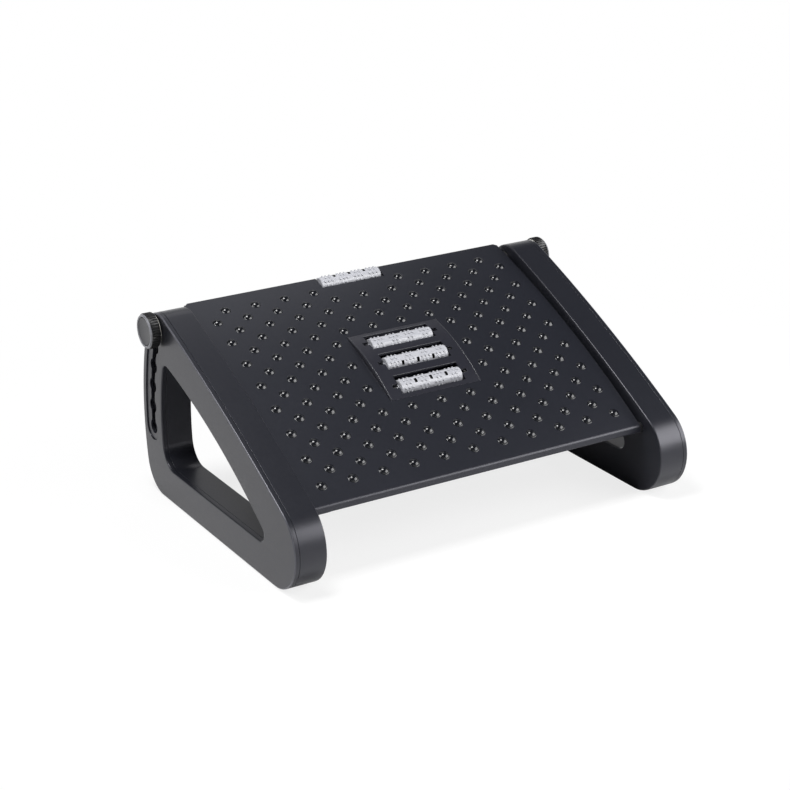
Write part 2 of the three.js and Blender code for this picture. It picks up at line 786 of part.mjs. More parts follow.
function cassetteBlock(t0, t1, h0, h1, x0, x1) {
  const outline = [
    ...arc(cassetteCentre, cassetteBow + h1, cassetteAngle(t0), cassetteAngle(t1)),
    ...arc(cassetteCentre, cassetteBow + h0, cassetteAngle(t1), cassetteAngle(t0)),
  ];
  return pushX(outline, x0, x1);
}

// Each roller lies nearer the front of its window, so that the dark gap is behind it
const rollerShift = (windowRearGap - windowFrontGap) / 2;
const rollerT = [-1, 0, 1].map((i) => i * rollerPitch + rollerShift);
const rollerAxes = {
  rear: cassettePoint(rollerT[0], -rollerSink),
  middle: cassettePoint(rollerT[1], -rollerSink),
  front: cassettePoint(rollerT[2], -rollerSink),
  edge: edgeRollerAt,
};

function rollerCassette() {
  const half = cassetteHalfWidth;
  const reach = cassetteReach * cassetteBow;
  const roof = arc(cassetteCentre, cassetteBow, cassetteAngle(-reach), cassetteAngle(reach));
  const floor = deckCurve(cassetteRear, cassetteFront, -cassetteDepth).reverse();
  let cassette = pushX([...roof, ...floor], -half, half);
  const inner = reach - cassetteWall;
  const cradle = notchHalf + cassettePlate / 2;
  const pockets = [
    [-cradle, cradle],
    [axleHalf + cassetteWall, half - cassetteWall],
    [cassetteWall - half, -axleHalf - cassetteWall],
  ];
  const deep = -2 * cassetteDepth;
  for (const [x0, x1] of pockets) {
    cassette = cassette.subtract(cassetteBlock(-inner, inner, deep, -cassettePlate, x0, x1));
  }
  const trayLow = cassetteTrayLift - cassetteDepth;
  const trayRear = cassetteRear + cassetteWall / 2;
  const trayFront = cassetteFront - cassetteWall / 2;
  const trayHalf = cradle + cassetteWall / 2;
  const tray = deckBlock(trayRear, trayFront, trayLow, trayLow + cassetteTray, -trayHalf, trayHalf);
  cassette = cassette.add(tray);
  for (const t of [-rollerPitch / 2, rollerPitch / 2]) {
    const under = -cassettePlate / 2;
    const rib = cassetteBlock(t - ribWall / 2, t + ribWall / 2, -ribDepth, under, -cradle, cradle);
    cassette = cassette.add(rib);
  }
  for (const { x, s } of earPlaces) {
    const tip = Math.sign(x) * (half + gap + earReach);
    const root = Math.sign(x) * (half - cassetteWall);
    const low = -cassetteDepth;
    const ear = deckBlock(s - earWidth / 2, s + earWidth / 2, low, low + earThickness, root, tip);
    const at = [x, ...deckPoint(s, low - overrun)];
    cassette = cassette.add(ear);
    cassette = cassette.subtract(rod(screwShank + gap, at, deckUp(s), earThickness + 2 * overrun, coarse));
  }
  const ease = axleRadius + gap;
  for (const t of rollerT) {
    const rear = t - rollerRadius - windowRearGap;
    const front = t + rollerRadius + windowFrontGap;
    const seat = axleHalf + gap;
    cassette = cassette.subtract(
      cassetteBlock(rear, front, -cassettePlate - overrun, overrun, -notchHalf, notchHalf));
    cassette = cassette.subtract(cassetteBlock(t - ease, t + ease, -rollerSink, overrun, -seat, seat));
    const at = [-seat, ...cassettePoint(t, -rollerSink)];
    cassette = cassette.subtract(rod(ease, at, outward(1), 2 * seat, coarse));
  }
  return cassette;
}

function cassetteScrew({ s, x }) {
  const seat = -cassetteDepth - gap;
  return screw([x, ...deckPoint(s, seat)], deckUp(s), -deckPlate - seat);
}

// A massage roller has rows of blunt teeth round a tube
function roller(axis) {
  const outline = [];
  const half = (Math.PI / rollerTeeth) * rollerToothShare;
  for (let i = 0; i < rollerTeeth; i += 1) {
    const middle = (2 * Math.PI * i) / rollerTeeth;
    outline.push(polar(axis, rollerRoot, middle - half));
    outline.push(polar(axis, rollerRadius, middle - half / 2));
    outline.push(polar(axis, rollerRadius, middle + half / 2));
    outline.push(polar(axis, rollerRoot, middle + half));
  }
  const body = pushX(outline, -rollerHalfLength, rollerHalfLength);
  const at = [-rollerHalfLength - overrun, ...axis];
  return body.subtract(rod(rollerBore, at, outward(1), 2 * (rollerHalfLength + overrun), coarse));
}

function axle(axis, half) {
  return rod(axleRadius, [-half, ...axis], outward(1), 2 * half, coarse);
}

// The whole object

const footrest = new THREE.Group();
footrest.name = 'footrest';

for (const [name, side] of Object.entries(sides)) {
  const leg = new THREE.Group();
  leg.add(toMesh(`leg_shell_${name}`, legShell(side), finish.leg()));
  leg.add(toMesh(`leg_cover_${name}`, legCover(side), finish.leg()));
  screwPlaces.forEach((place, i) => {
    leg.add(toMesh(`cover_screw_${name}_${i + 1}`, coverScrew(side, place), finish.blackSteel()));
  });
  for (const place of Object.keys(footPlaces)) {
    const foot = footBlock(side, place, 0, footProud + footSink - gap);
    leg.add(toMesh(`foot_${place}_${name}`, foot, finish.rubber()));
  }
  leg.add(toMesh(`pivot_bush_${name}`, pivotBush(side), finish.nylon()));
  footrest.add(leg);

  const lock = new THREE.Group();
  lock.add(toMesh(`knob_${name}`, knob(side), finish.knob()));
  lock.add(toMesh(`knob_cap_${name}`, knobCap(side), finish.cap()));
  lock.add(toMesh(`knob_stud_${name}`, knobStud(side), finish.steel()));
  lock.add(toMesh(`knob_washer_${name}`, knobWasher(side), finish.nylon()));
  footrest.add(lock);

  const mount = new THREE.Group();
  mount.add(toMesh(`pivot_bolt_${name}`, pivotBolt(side), finish.steel()));
  const pivotWasher = spacerWasher(side, pivot, pivotShank, pivotBoss);
  const studWasher = spacerWasher(side, knobAxis, studRadius, studBoss);
  mount.add(toMesh(`pivot_washer_${name}`, pivotWasher, finish.blackNylon()));
  mount.add(toMesh(`stud_washer_${name}`, studWasher, finish.blackNylon()));
  mount.add(toMesh(`pivot_insert_${name}`, threadedInsert(side, pivot, pivotThread), finish.brass()));
  mount.add(toMesh(`stud_insert_${name}`, threadedInsert(side, knobAxis, studRadius), finish.brass()));
  footrest.add(mount);
}

const platform = new THREE.Group();
platform.add(toMesh('platform_deck', platformDeck(), finish.deck()));
platform.add(toMesh('roller_cassette', rollerCassette(), finish.cassette()));
earPlaces.forEach((place, i) => {
  platform.add(toMesh(`cassette_screw_${i + 1}`, cassetteScrew(place), finish.blackSteel()));
});
for (const [name, axis] of Object.entries(rollerAxes)) {
  const half = name === 'edge' ? notchHalf + edgeEarWall : axleHalf;
  platform.add(toMesh(`roller_${name}`, roller(axis), finish.roller()));
  platform.add(toMesh(`axle_${name}`, axle(axis, half), finish.steel()));
}
footrest.add(platform);

export default footrest;
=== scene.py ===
import json
import math

import bmesh
import bpy
from mathutils import Matrix, Vector
from mathutils.geometry import tessellate_polygon


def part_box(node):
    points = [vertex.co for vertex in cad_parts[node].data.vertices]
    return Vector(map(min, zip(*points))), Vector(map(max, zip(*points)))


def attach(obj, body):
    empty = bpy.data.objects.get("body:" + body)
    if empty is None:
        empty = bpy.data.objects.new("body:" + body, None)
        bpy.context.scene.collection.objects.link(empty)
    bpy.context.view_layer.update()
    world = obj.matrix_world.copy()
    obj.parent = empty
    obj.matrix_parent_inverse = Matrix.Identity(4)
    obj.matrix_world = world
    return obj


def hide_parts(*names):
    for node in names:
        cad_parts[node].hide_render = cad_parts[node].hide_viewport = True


# Tilting under desk footrest: its visible pieces, their finishes, the studio and the camera. Metres, in
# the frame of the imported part. A point in the side plane is (y, z).

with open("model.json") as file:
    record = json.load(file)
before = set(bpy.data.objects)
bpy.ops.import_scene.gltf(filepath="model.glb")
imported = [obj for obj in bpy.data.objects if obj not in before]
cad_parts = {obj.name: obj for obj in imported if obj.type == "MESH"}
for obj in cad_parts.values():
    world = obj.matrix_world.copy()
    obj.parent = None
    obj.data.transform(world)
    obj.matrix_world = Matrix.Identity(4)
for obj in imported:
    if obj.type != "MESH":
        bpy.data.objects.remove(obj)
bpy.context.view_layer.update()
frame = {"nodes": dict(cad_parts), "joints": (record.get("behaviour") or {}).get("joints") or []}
joints = {joint["name"]: joint for joint in frame["joints"]}


def axis_of(joint):
    return tuple(joints[joint]["pos_m"][1:])


SIDES = {"left": -1, "right": 1}
PIVOT = axis_of("platform_tilt")
KNOB = axis_of("knob_turn_left")
OUTER_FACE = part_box("leg_cover_right")[1].x
SEAM_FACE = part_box("leg_shell_right")[1].x
INNER_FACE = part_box("leg_shell_right")[0].x
LEG_DEPTH = 2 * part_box("leg_cover_right")[1].y
LEG_THICKNESS = OUTER_FACE - INNER_FACE
SEAM_DEPTH = OUTER_FACE - SEAM_FACE
FOOT_PROUD = 0.0004

# Clearance between neighbouring pieces, and how far a surface stays inside the solid's own
GAP = 0.0003
INSET = GAP / 10

# Leg
LEG_TOP_ROUND = 0.032
LEG_TOP_SHIFT = 0.01095
SLOT_COVER = 0.0215
PIVOT_COVER = 0.017
LEG_FRONT_ROUND = (PIVOT[1] + PIVOT_COVER - FOOT_PROUD) / 2
LEG_HEEL_ROUND = 0.035
LEG_TOP_BOW = 1.9
REAR_POST_WIDTH = 0.044
SILL_HEIGHT = 0.036
WINDOW_APEX = math.radians(16.9)
WINDOW_APEX_ROUND = 0.0095
WINDOW_FRONT_ROUND = 0.009
WINDOW_HEEL_ROUND = 0.024
WINDOW_FRONT_INSET = 0.0625
WINDOW_TOP_BOW = 0.65
LEG_FILLET = 0.0013
SEAM_FILLET = 0.00025
SLOT_FILLET = 0.0004

# Slot and its seats
TILT_RADIUS = math.hypot(KNOB[0] - PIVOT[0], KNOB[1] - PIVOT[1])
TOP_ANGLE = math.atan2(KNOB[1] - PIVOT[1], KNOB[0] - PIVOT[0])
SEAT_PITCH = math.radians(4.9)
SEAT_COUNT = 6
SEAT_RADIUS = 0.0075
SLOT_HALF = 0.0042
INNER_SLOT_HALF = 0.0048
RECESS_HALF = 0.0144
RECESS_DEPTH = 0.0013

# Platform
DECK_HALF = -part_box("platform_deck")[0].x
DECK_BOW = 1.166
DECK_REAR_REACH = 0.0183
DECK_FRONT_REACH = 0.0028
DECK_RISE = 0.0106
DECK_LEAN = math.radians(0.1)
DECK_PLATE = 0.003
DECK_LIP = 0.0066
DECK_LIP_LENGTH = 0.005
DECK_LIP_LEAN = 0.0047
DECK_LIP_ROUND = 0.0038
DECK_EDGE_ROUND = 0.0012
DECK_REAR_SKIRT = 0.017
DECK_SKIRT = 0.02
DECK_SKIRT_FULL_SHARE = 0.68
DECK_SKIRT_WALL = 0.0025
DECK_CORNER = 0.004
DECK_BEVEL = 0.0009
RIB_DEPTH = 0.012
RIB_WALL = 0.002
LONG_RIB_FROM_CASSETTE = 0.016
STUD_BOSS = 0.0096
PIVOT_BOSS = 0.0054
BOSS_LENGTH = 0.018

# Bumps
BUMP_RADIUS = 0.005
BUMP_HEIGHT = 0.0026
BUMP_FILLET = 0.001
ROW_COUNT = 16
ROW_START = 0.02336
ROW_FRONT_MARGIN = 0.02245
BUMP_COLUMNS = 10
BUMP_SIDE_MARGIN = 0.019

# Roller cassette
CASSETTE_HALF = 0.0526
CASSETTE_RIM = 0.00475
CASSETTE_BOW = 0.21
CASSETTE_PLATE = 0.0025
CASSETTE_WALL = 0.0022
CASSETTE_DEPTH = 0.0156
CASSETTE_TRAY = 0.002
CASSETTE_TRAY_LIFT = 0.0005
CASSETTE_BEVEL = 0.0007
BEAD_WIDTH = 0.0009
BEAD_RISE = 0.0003
EAR_REACH = 0.01
EAR_WIDTH = 0.014
EAR_THICKNESS = 0.0024
SCREW_BOSS = 0.0042

# Rollers
ROLLER_RADIUS = 0.0095
ROLLER_CORE = 0.0083
ROLLER_HALF = 0.0354
ROLLER_CHAMFER = 0.0006
ROLLER_ROWS = 12
ROLLER_QUARTERS = 4
CASSETTE_ROLLERS = ("rear", "middle", "front")
PIMPLE_RADIUS = 0.0012
PIMPLE_SHARES = [(0, 1), (0.45, 1), (0.8, 0.8), (0.95, 0.3), (1.1, -0.3)]
PIMPLE_PITCH = 0.0042
SLIT_WIDTH = 0.003
SLIT_LENGTH = 0.0046
SLIT_DEPTH = 0.003
STUB_RADIUS = 0.0034
STUB_LENGTH = 0.0011
AXLE_RADIUS = 0.002
ROLLER_END_GAP = 0.0015
AXLE_SEAT = 0.006
ROLLER_PITCH = 0.0318
WINDOW_REAR_GAP = 0.0026
WINDOW_FRONT_GAP = 0.0008
EDGE_FROM_REAR = 0.007
EDGE_DROP = 0.005
EDGE_NOTCH_GAP = 0.0012
EDGE_EAR_WALL = 0.0035

# Knob
KNOB_RADIUS = 0.01825
KNOB_HEIGHT = 0.011
KNOB_CHAMFER = 0.0016
KNOB_EDGE = KNOB_CHAMFER / 3
KNURL_COUNT = 44
KNURL_DEPTH = 0.0009
RIM_BANDS = 5
DISH_RADIUS = 0.0146
DISH_DEPTH = 0.0018
CAP_THICKNESS = 0.0011
CAP_DISH = 0.0005
COLLAR_RADIUS = 0.0068
STUD_RADIUS = 0.0039

# Small hardware
SCREW_HEAD = 0.0036
SCREW_HEAD_HEIGHT = SCREW_HEAD * 2 / 3
SCREW_SHANK = 0.00175
SCREW_POCKET = 0.0032
WASHER_EDGE = 0.0003

# How finely round stretches are drawn
ARC_STEP = math.radians(7.5)
BOW_STEP = 0.008
FILLET_SIDES = 3
SEAT_STEPS = 8
END_SEAT_STEPS = 28
NECK_STEPS = 3
ROUND_SIDES = 32
BUMP_SIDES = 20
PIMPLE_SIDES = 10
SMALL_SIDES = 24
DISC_SIDES = 48
ROLLER_SIDES = 72
CORNER_SIDES = 4
SHARP = math.radians(35)
BEVEL_SEGMENTS = 2
FACE_WEIGHT = 100


# Arcs and outlines in the side plane

def polar(centre, radius, angle):
    return (centre[0] + radius * math.cos(angle), centre[1] + radius * math.sin(angle))


def arc(centre, radius, start, end, offset=0.0, count=None):
    """Points of an arc, moved to the right of its way by the offset, and as many for any offset."""
    turn = end - start
    count = count or max(2, math.ceil(abs(turn) / ARC_STEP), math.ceil(abs(turn) * radius / BOW_STEP))
    grown = radius + (offset if turn > 0 else -offset)
    return [polar(centre, grown, start + turn * i / count) for i in range(count + 1)]


def bowed_edge(a, b):
    """The edge that touches the rounds of corners a and b: its centre, and where it starts and ends."""
    (ya, za), ra, bow = a["at"], a["round"], a.get("bow")
    (yb, zb), rb = b["at"], b["round"]
    span = math.hypot(yb - ya, zb - za)
    along = ((yb - ya) / span, (zb - za) / span)
    if bow is None:
        lean = (ra - rb) / span
        out = math.sqrt(1 - lean * lean)
        normal = math.atan2(along[1] * lean - along[0] * out, along[0] * lean + along[1] * out)
        return None, normal, normal
    reach_a, reach_b = bow - ra, bow - rb
    forward = (reach_a**2 - reach_b**2 + span**2) / (2 * span)
    inward = math.sqrt(reach_a**2 - forward**2)
    centre = (
        ya + forward * along[0] - inward * along[1],
        za + forward * along[1] + inward * along[0],
    )
    angles = [math.atan2(c["at"][1] - centre[1], c["at"][0] - centre[0]) for c in (a, b)]
    return centre, angles[0], angles[1]


def rounded_loop(corners, offset=0.0):
    """A closed outline, anticlockwise, through rounded corners, moved outwards by the offset."""
    edges = [bowed_edge(c, corners[(i + 1) % len(corners)]) for i, c in enumerate(corners)]
    points = []
    for i, corner in enumerate(corners):
        before, (centre, start, end) = edges[i - 1][2], edges[i]
        last = start + (2 * math.pi if start < before else 0)
        points += arc(corner["at"], corner["round"], before, last, offset)
        if centre:
            end += 2 * math.pi if end < start else 0
            points += arc(centre, corner["bow"], start, end, offset)[1:-1]
    return points


def circle(centre, radius, offset=0.0, sides=ROUND_SIDES):
    return [polar(centre, radius + offset, 2 * math.pi * i / sides) for i in range(sides)]


def slot_band(half, offset=0.0):
    """A band of one width along the slot's arc about the pivot, with round ends."""
    top, bottom = TOP_ANGLE, TOP_ANGLE - (SEAT_COUNT - 1) * SEAT_PITCH
    high, low = polar(PIVOT, TILT_RADIUS, top), polar(PIVOT, TILT_RADIUS, bottom)
    return [
        *arc(PIVOT, TILT_RADIUS + half, bottom, top, offset),
        *arc(high, half, top, top + math.pi, offset)[1:-1],
        *arc(PIVOT, TILT_RADIUS - half, top, bottom, offset),
        *arc(low, half, bottom - math.pi, bottom, offset)[1:-1],
    ]


def scalloped_slot(offset=0.0):
    """The slot with its round seats, one outline."""
    radius = SEAT_RADIUS + offset
    sides = {}
    half_width = SLOT_HALF + offset
    for name, reach in (("out", TILT_RADIUS + half_width), ("in", TILT_RADIUS - half_width)):
        cosine = (TILT_RADIUS**2 + reach**2 - radius**2) / (2 * TILT_RADIUS * reach)
        half = math.acos(cosine)
        turn = math.atan2(reach * math.sin(half), reach * cosine - TILT_RADIUS)
        sides[name] = (reach, half, turn)
    seats = [TOP_ANGLE - i * SEAT_PITCH for i in reversed(range(SEAT_COUNT))]

    def seat(angle, start, end, steps=SEAT_STEPS):
        centre = polar(PIVOT, TILT_RADIUS, angle)
        return arc(centre, radius, angle + start, angle + end, count=steps)

    def neck(name, start, end):
        reach, half, _ = sides[name]
        sign = 1 if end > start else -1
        return arc(PIVOT, reach, start + sign * half, end - sign * half, count=NECK_STEPS)[1:-1]

    out_turn, in_turn = sides["out"][2], sides["in"][2]
    points = seat(seats[0], in_turn - 2 * math.pi, out_turn, END_SEAT_STEPS)
    for below, angle in zip(seats, seats[1:-1]):
        points += neck("out", below, angle) + seat(angle, -out_turn, out_turn)
    points += neck("out", seats[-2], seats[-1])
    points += seat(seats[-1], -out_turn, 2 * math.pi - in_turn, END_SEAT_STEPS)
    for above, angle in zip(reversed(seats), reversed(seats[1:-1])):
        points += neck("in", above, angle) + seat(angle, in_turn, 2 * math.pi - in_turn)
    return points + neck("in", seats[1], seats[0])


def under_arc(reach, rounding, height):
    """Centre of a round that touches an arc about the pivot, at a given height."""
    rise = height - PIVOT[1]
    return (PIVOT[0] + math.sqrt((reach - rounding) ** 2 - rise**2), height)


REAR_REACH = TILT_RADIUS + SLOT_COVER
LEG_TOP_REACH = REAR_REACH - LEG_TOP_ROUND
WINDOW_REACH = REAR_REACH - REAR_POST_WIDTH
LEG_CORNERS = [
    {
        "at": polar(PIVOT, LEG_TOP_REACH, TOP_ANGLE - LEG_TOP_SHIFT / LEG_TOP_REACH),
        "round": LEG_TOP_ROUND,
        "bow": LEG_TOP_BOW,
    },
    {
        "at": (LEG_FRONT_ROUND - LEG_DEPTH / 2, FOOT_PROUD + LEG_FRONT_ROUND),
        "round": LEG_FRONT_ROUND,
    },
    {
        "at": under_arc(REAR_REACH, LEG_HEEL_ROUND, FOOT_PROUD + LEG_HEEL_ROUND),
        "round": LEG_HEEL_ROUND,
        "bow": REAR_REACH,
    },
]
WINDOW_CORNERS = [
    {
        "at": polar(PIVOT, WINDOW_REACH - WINDOW_APEX_ROUND, WINDOW_APEX),
        "round": WINDOW_APEX_ROUND,
        "bow": WINDOW_TOP_BOW,
    },
    {
        "at": (
            WINDOW_FRONT_INSET + WINDOW_FRONT_ROUND - LEG_DEPTH / 2,
            SILL_HEIGHT + WINDOW_FRONT_ROUND,
        ),
        "round": WINDOW_FRONT_ROUND,
    },
    {
        "at": under_arc(WINDOW_REACH, WINDOW_HEEL_ROUND, SILL_HEIGHT + WINDOW_HEEL_ROUND),
        "round": WINDOW_HEEL_ROUND,
        "bow": WINDOW_REACH,
    },
]


def leg_outline(offset=0.0):
    return rounded_loop(LEG_CORNERS, offset - INSET)


def window_outline(offset=0.0):
    return rounded_loop(WINDOW_CORNERS, offset)


# Places on the platform's convex top: s along it from the rear edge, h square to it

REAR_SLOPE = TOP_ANGLE - DECK_LEAN - math.asin(TILT_RADIUS / 2 / DECK_BOW)
DECK_FALL = DECK_BOW - DECK_RISE
DECK_CENTRE = (
    KNOB[0] + DECK_REAR_REACH * math.cos(REAR_SLOPE) + DECK_FALL * math.sin(REAR_SLOPE),
    KNOB[1] + DECK_REAR_REACH * math.sin(REAR_SLOPE) - DECK_FALL * math.cos(REAR_SLOPE),
)


def deck_angle(s):
    return math.pi / 2 + REAR_SLOPE + s / DECK_BOW


def deck_point(s, h):
    return polar(DECK_CENTRE, DECK_BOW + h, deck_angle(s))


def deck_up(s):
    return Vector((0, math.cos(deck_angle(s)), math.sin(deck_angle(s))))


def curve(point, start, end, h, step):
    """Points at one height along a curved top, whose points the function point gives."""
    count = max(1, math.ceil(abs(end - start) / step))
    return [point(start + (end - start) * i / count, h) for i in range(count + 1)]


def deck_curve(start, end, h):
    return curve(deck_point, start, end, h, BOW_STEP)


def along_deck(point):
    turn = math.atan2(point[1] - DECK_CENTRE[1], point[0] - DECK_CENTRE[0])
    return (turn - math.pi / 2 - REAR_SLOPE) * DECK_BOW


DECK_LENGTH = along_deck(PIVOT) + DECK_FRONT_REACH
DECK_SKIRT_FULL = DECK_SKIRT_FULL_SHARE * DECK_LENGTH
ROW_PITCH = (DECK_LENGTH - ROW_START - ROW_FRONT_MARGIN) / (ROW_COUNT - 1)
BUMP_PITCH = 2 * (DECK_HALF - BUMP_SIDE_MARGIN) / BUMP_COLUMNS
WINDOW_LENGTH = WINDOW_REAR_GAP + 2 * ROLLER_RADIUS + WINDOW_FRONT_GAP
CASSETTE_LENGTH = 2 * (ROLLER_PITCH + CASSETTE_RIM) + WINDOW_LENGTH
CASSETTE_REAR = (DECK_LENGTH - CASSETTE_LENGTH) / 2

# Places on the cassette's bulged top: t along it from its middle, h square to it

CASSETTE_FRONT = CASSETTE_REAR + CASSETTE_LENGTH
CASSETTE_ENDS = [deck_point(CASSETTE_REAR, 0), deck_point(CASSETTE_FRONT, 0)]
CHORD = (CASSETTE_ENDS[1][0] - CASSETTE_ENDS[0][0], CASSETTE_ENDS[1][1] - CASSETTE_ENDS[0][1])
CASSETTE_TILT = math.atan2(-CHORD[1], -CHORD[0])
CASSETTE_FALL = math.sqrt(CASSETTE_BOW**2 - math.hypot(*CHORD) ** 2 / 4)
CASSETTE_CENTRE = (
    (CASSETTE_ENDS[0][0] + CASSETTE_ENDS[1][0]) / 2 + CASSETTE_FALL * math.sin(CASSETTE_TILT),
    (CASSETTE_ENDS[0][1] + CASSETTE_ENDS[1][1]) / 2 - CASSETTE_FALL * math.cos(CASSETTE_TILT),
)
CASSETTE_REACH = math.asin(math.hypot(*CHORD) / 2 / CASSETTE_BOW) * CASSETTE_BOW


def cassette_point(t, h):
    angle = math.pi / 2 + CASSETTE_TILT + t / CASSETTE_BOW
    return polar(CASSETTE_CENTRE, CASSETTE_BOW + h, angle)


def cassette_curve(start, end, h):
    return curve(cassette_point, start, end, h, BOW_STEP / 2)


def band(top, start, end, high, low):
    """The outline between two heights of a curved top."""
    return [*top(start, end, high), *top(end, start, low)]


def along_cassette(point):
    turn = math.atan2(point[1] - CASSETTE_CENTRE[1], point[0] - CASSETTE_CENTRE[0])
    return (turn - math.pi / 2 - CASSETTE_TILT) * CASSETTE_BOW


ROLLER_AXES = {name: axis_of(f"roller_spin_{name}") for name in (*CASSETTE_ROLLERS, "edge")}
NOTCH_HALF = ROLLER_HALF + ROLLER_END_GAP
EDGE_NOTCH_END = EDGE_FROM_REAR + ROLLER_RADIUS + EDGE_NOTCH_GAP
AXLE_HALF = NOTCH_HALF + AXLE_SEAT
EAR_OFFSET = CASSETTE_HALF + 2 * GAP + SCREW_BOSS
EAR_PLACES = [
    (side * EAR_OFFSET, s)
    for side in SIDES.values()
    for s in (CASSETTE_REAR + EAR_WIDTH, CASSETTE_FRONT - EAR_WIDTH)
]


# Mesh making

class Builder:
    """Gathers rings of points, skins and caps into one mesh."""

    def __init__(self):
        self.mesh = bmesh.new()

    def ring(self, points):
        return [self.mesh.verts.new(point) for point in points]

    def ring_at(self, x, outline):
        return self.ring([(x, y, z) for y, z in outline])

    def skin(self, rings):
        for a, b in zip(rings, rings[1:]):
            for i in range(len(a)):
                k = (i + 1) % len(a)
                self.mesh.faces.new((a[i], a[k], b[k], b[i]))

    def cap(self, *loops):
        flat = [vertex for loop in loops for vertex in loop]
        for triangle in tessellate_polygon([[v.co for v in loop] for loop in loops]):
            self.mesh.faces.new([flat[i] for i in triangle])

    def prism(self, outline, x0, x1):
        low, high = self.ring_at(x0, outline), self.ring_at(x1, outline)
        self.skin([low, high])
        self.cap(low)
        self.cap(high)

    def lathe(self, profile, at, axis, sides=ROUND_SIDES):
        """Turns a profile of (radius, distance) about the axis, closing one that starts off the axis."""
        turn = Vector((0, 0, 1)).rotation_difference(Vector(axis)).to_matrix()
        rings = []
        for radius, distance in profile:
            if radius == 0:
                rings.append(self.ring([Vector(at) + turn @ Vector((0, 0, distance))]))
                continue
            points = circle((0, 0), radius, sides=sides)
            rings.append(self.ring([Vector(at) + turn @ Vector((u, v, distance)) for u, v in points]))
        for a, b in zip(rings, rings[1:]):
            self.join_rings(a, b, sides)
        if profile[0][0] > 0:
            self.join_rings(rings[-1], rings[0], sides)

    def join_rings(self, a, b, sides):
        for i in range(sides):
            k = (i + 1) % sides
            corners = [a[i % len(a)], a[k % len(a)], b[k % len(b)], b[i % len(b)]]
            self.mesh.faces.new(list(dict.fromkeys(corners)))

    def paint_first(self, count):
        """Gives the first faces made the piece's second material."""
        self.mesh.faces.ensure_lookup_table()
        for face in self.mesh.faces[:count]:
            face.material_index = 1

    def data(self, name):
        """Ends the mesh and hands it over."""
        bmesh.ops.recalc_face_normals(self.mesh, faces=self.mesh.faces)
        data = bpy.data.meshes.new(name)
        self.mesh.to_mesh(data)
        self.mesh.free()
        return data

    def piece(self, name, material, body, slot, nodes=(), bevel=0.0):
        """Ends the mesh and makes it a piece that rides on a body. Its last material is the bevel's."""
        data = self.data(name)
        piece = bpy.data.objects.new(name, data)
        bpy.context.scene.collection.objects.link(piece)
        for each in material if isinstance(material, list) else [material]:
            data.materials.append(each)
        finish_surface(piece, bevel)
        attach(piece, body)
        if nodes:
            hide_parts(*nodes)
        return piece


def rod(radius, length):
    """Lathe profile of a plain rod."""
    return [(0, 0), (radius, 0), (radius, length), (0, length)]


def turned(bore, radius, length, edge):
    """Lathe profile of a rod or a ring whose outer edges are cut off."""
    return [
        (bore, 0),
        (radius - edge, 0),
        (radius, edge),
        (radius, length - edge),
        (radius - edge, length),
        (bore, length),
    ]


def finish_surface(piece, bevel):
    """Rounds the sharp edges and shades the rest smooth, with flat faces kept flat."""
    if bevel:
        rounding = piece.modifiers.new("edges", "BEVEL")
        rounding.width = bevel
        rounding.segments = BEVEL_SEGMENTS
        rounding.limit_method = "ANGLE"
        rounding.angle_limit = SHARP
        # The bevel faces take the piece's last material; on the deck and cassette that is the pale edge
        # plastic, a painted highlight along the rounded edges
        rounding.material = len(piece.data.materials) - 1
    data = piece.data
    data.polygons.foreach_set("use_smooth", [True] * len(data.polygons))
    if not bevel:
        data.set_sharp_from_angle(angle=SHARP)
    normals = piece.modifiers.new("normals", "WEIGHTED_NORMAL")
    normals.keep_sharp = True
    normals.weight = FACE_WEIGHT


def fillet(radius, depth, way):
    """Steps (offset, depth) of a rounded edge, from the face at the depth inwards along way."""
    steps = []
    for i in range(FILLET_SIDES + 1):
        turn = math.pi / 2 * i / FILLET_SIDES
        steps.append((radius * (math.sin(turn) - 1), depth + way * radius * (1 - math.cos(turn))))
    return steps


def leg_wall(builder, side, outline, steps, hole=False):
    """Rings of an outline through the leg, at steps of (offset, depth)."""
    sign = -1 if hole else 1
    rings = [
        builder.ring_at(side * (OUTER_FACE - depth), outline(sign * offset)) for offset, depth in steps
    ]
    builder.skin(rings)
    return rings


def through(radius_out, depth_out, radius_in, depth_in):
    """Steps of a wall that goes from a rounded edge at one depth to another at a deeper one."""
    return fillet(radius_out, depth_out, 1) + fillet(radius_in, depth_in, -1)[::-1]


def round_corner(before, corner, after, radius):
    """Points of a round in place of an outline's corner."""
    here = Vector(corner)
    a, b = (Vector(before) - here).normalized(), (Vector(after) - here).normalized()
    half = a.angle(b) / 2
    centre = here + (a + b).normalized() * (radius / math.sin(half))
    start = here + a * (radius / math.tan(half)) - centre
    end = here + b * (radius / math.tan(half)) - centre
    turn = math.atan2(start.x * end.y - start.y * end.x, start.dot(end))
    count = max(2, math.ceil(abs(turn) / (2 * ARC_STEP)))
    first = math.atan2(start.y, start.x)
    return [polar(centre, radius, first + turn * i / count) for i in range(count + 1)]


def with_rounds(outline, rounds):
    """The outline with rounds put in at some of its points, given as {place in the list: radius}."""
    points = []
    for i, point in enumerate(outline):
        if i in rounds:
            points += round_corner(outline[i - 1], point, outline[(i + 1) % len(outline)], rounds[i])
        else:
            points.append(point)
    return points


def cut(builder, cutters):
    """A builder that holds the mesh with the closed cutters taken out of it."""
    target = bpy.data.objects.new("cut_target", builder.data("cut_target"))
    bpy.context.scene.collection.objects.link(target)
    tools = []
    for cutter in cutters:
        tool = bpy.data.objects.new("cutter", cutter.data("cutter"))
        bpy.context.scene.collection.objects.link(tool)
        cutting = target.modifiers.new("cut", "BOOLEAN")
        cutting.operation = "DIFFERENCE"
        cutting.object = tool
        cutting.solver = "EXACT"
        tools.append(tool)
    evaluated = target.evaluated_get(bpy.context.evaluated_depsgraph_get())
    left = Builder()
    left.mesh.from_mesh(bpy.data.meshes.new_from_object(evaluated))
    for each in [target, *tools]:
        bpy.data.objects.remove(each)
    return left


# Materials

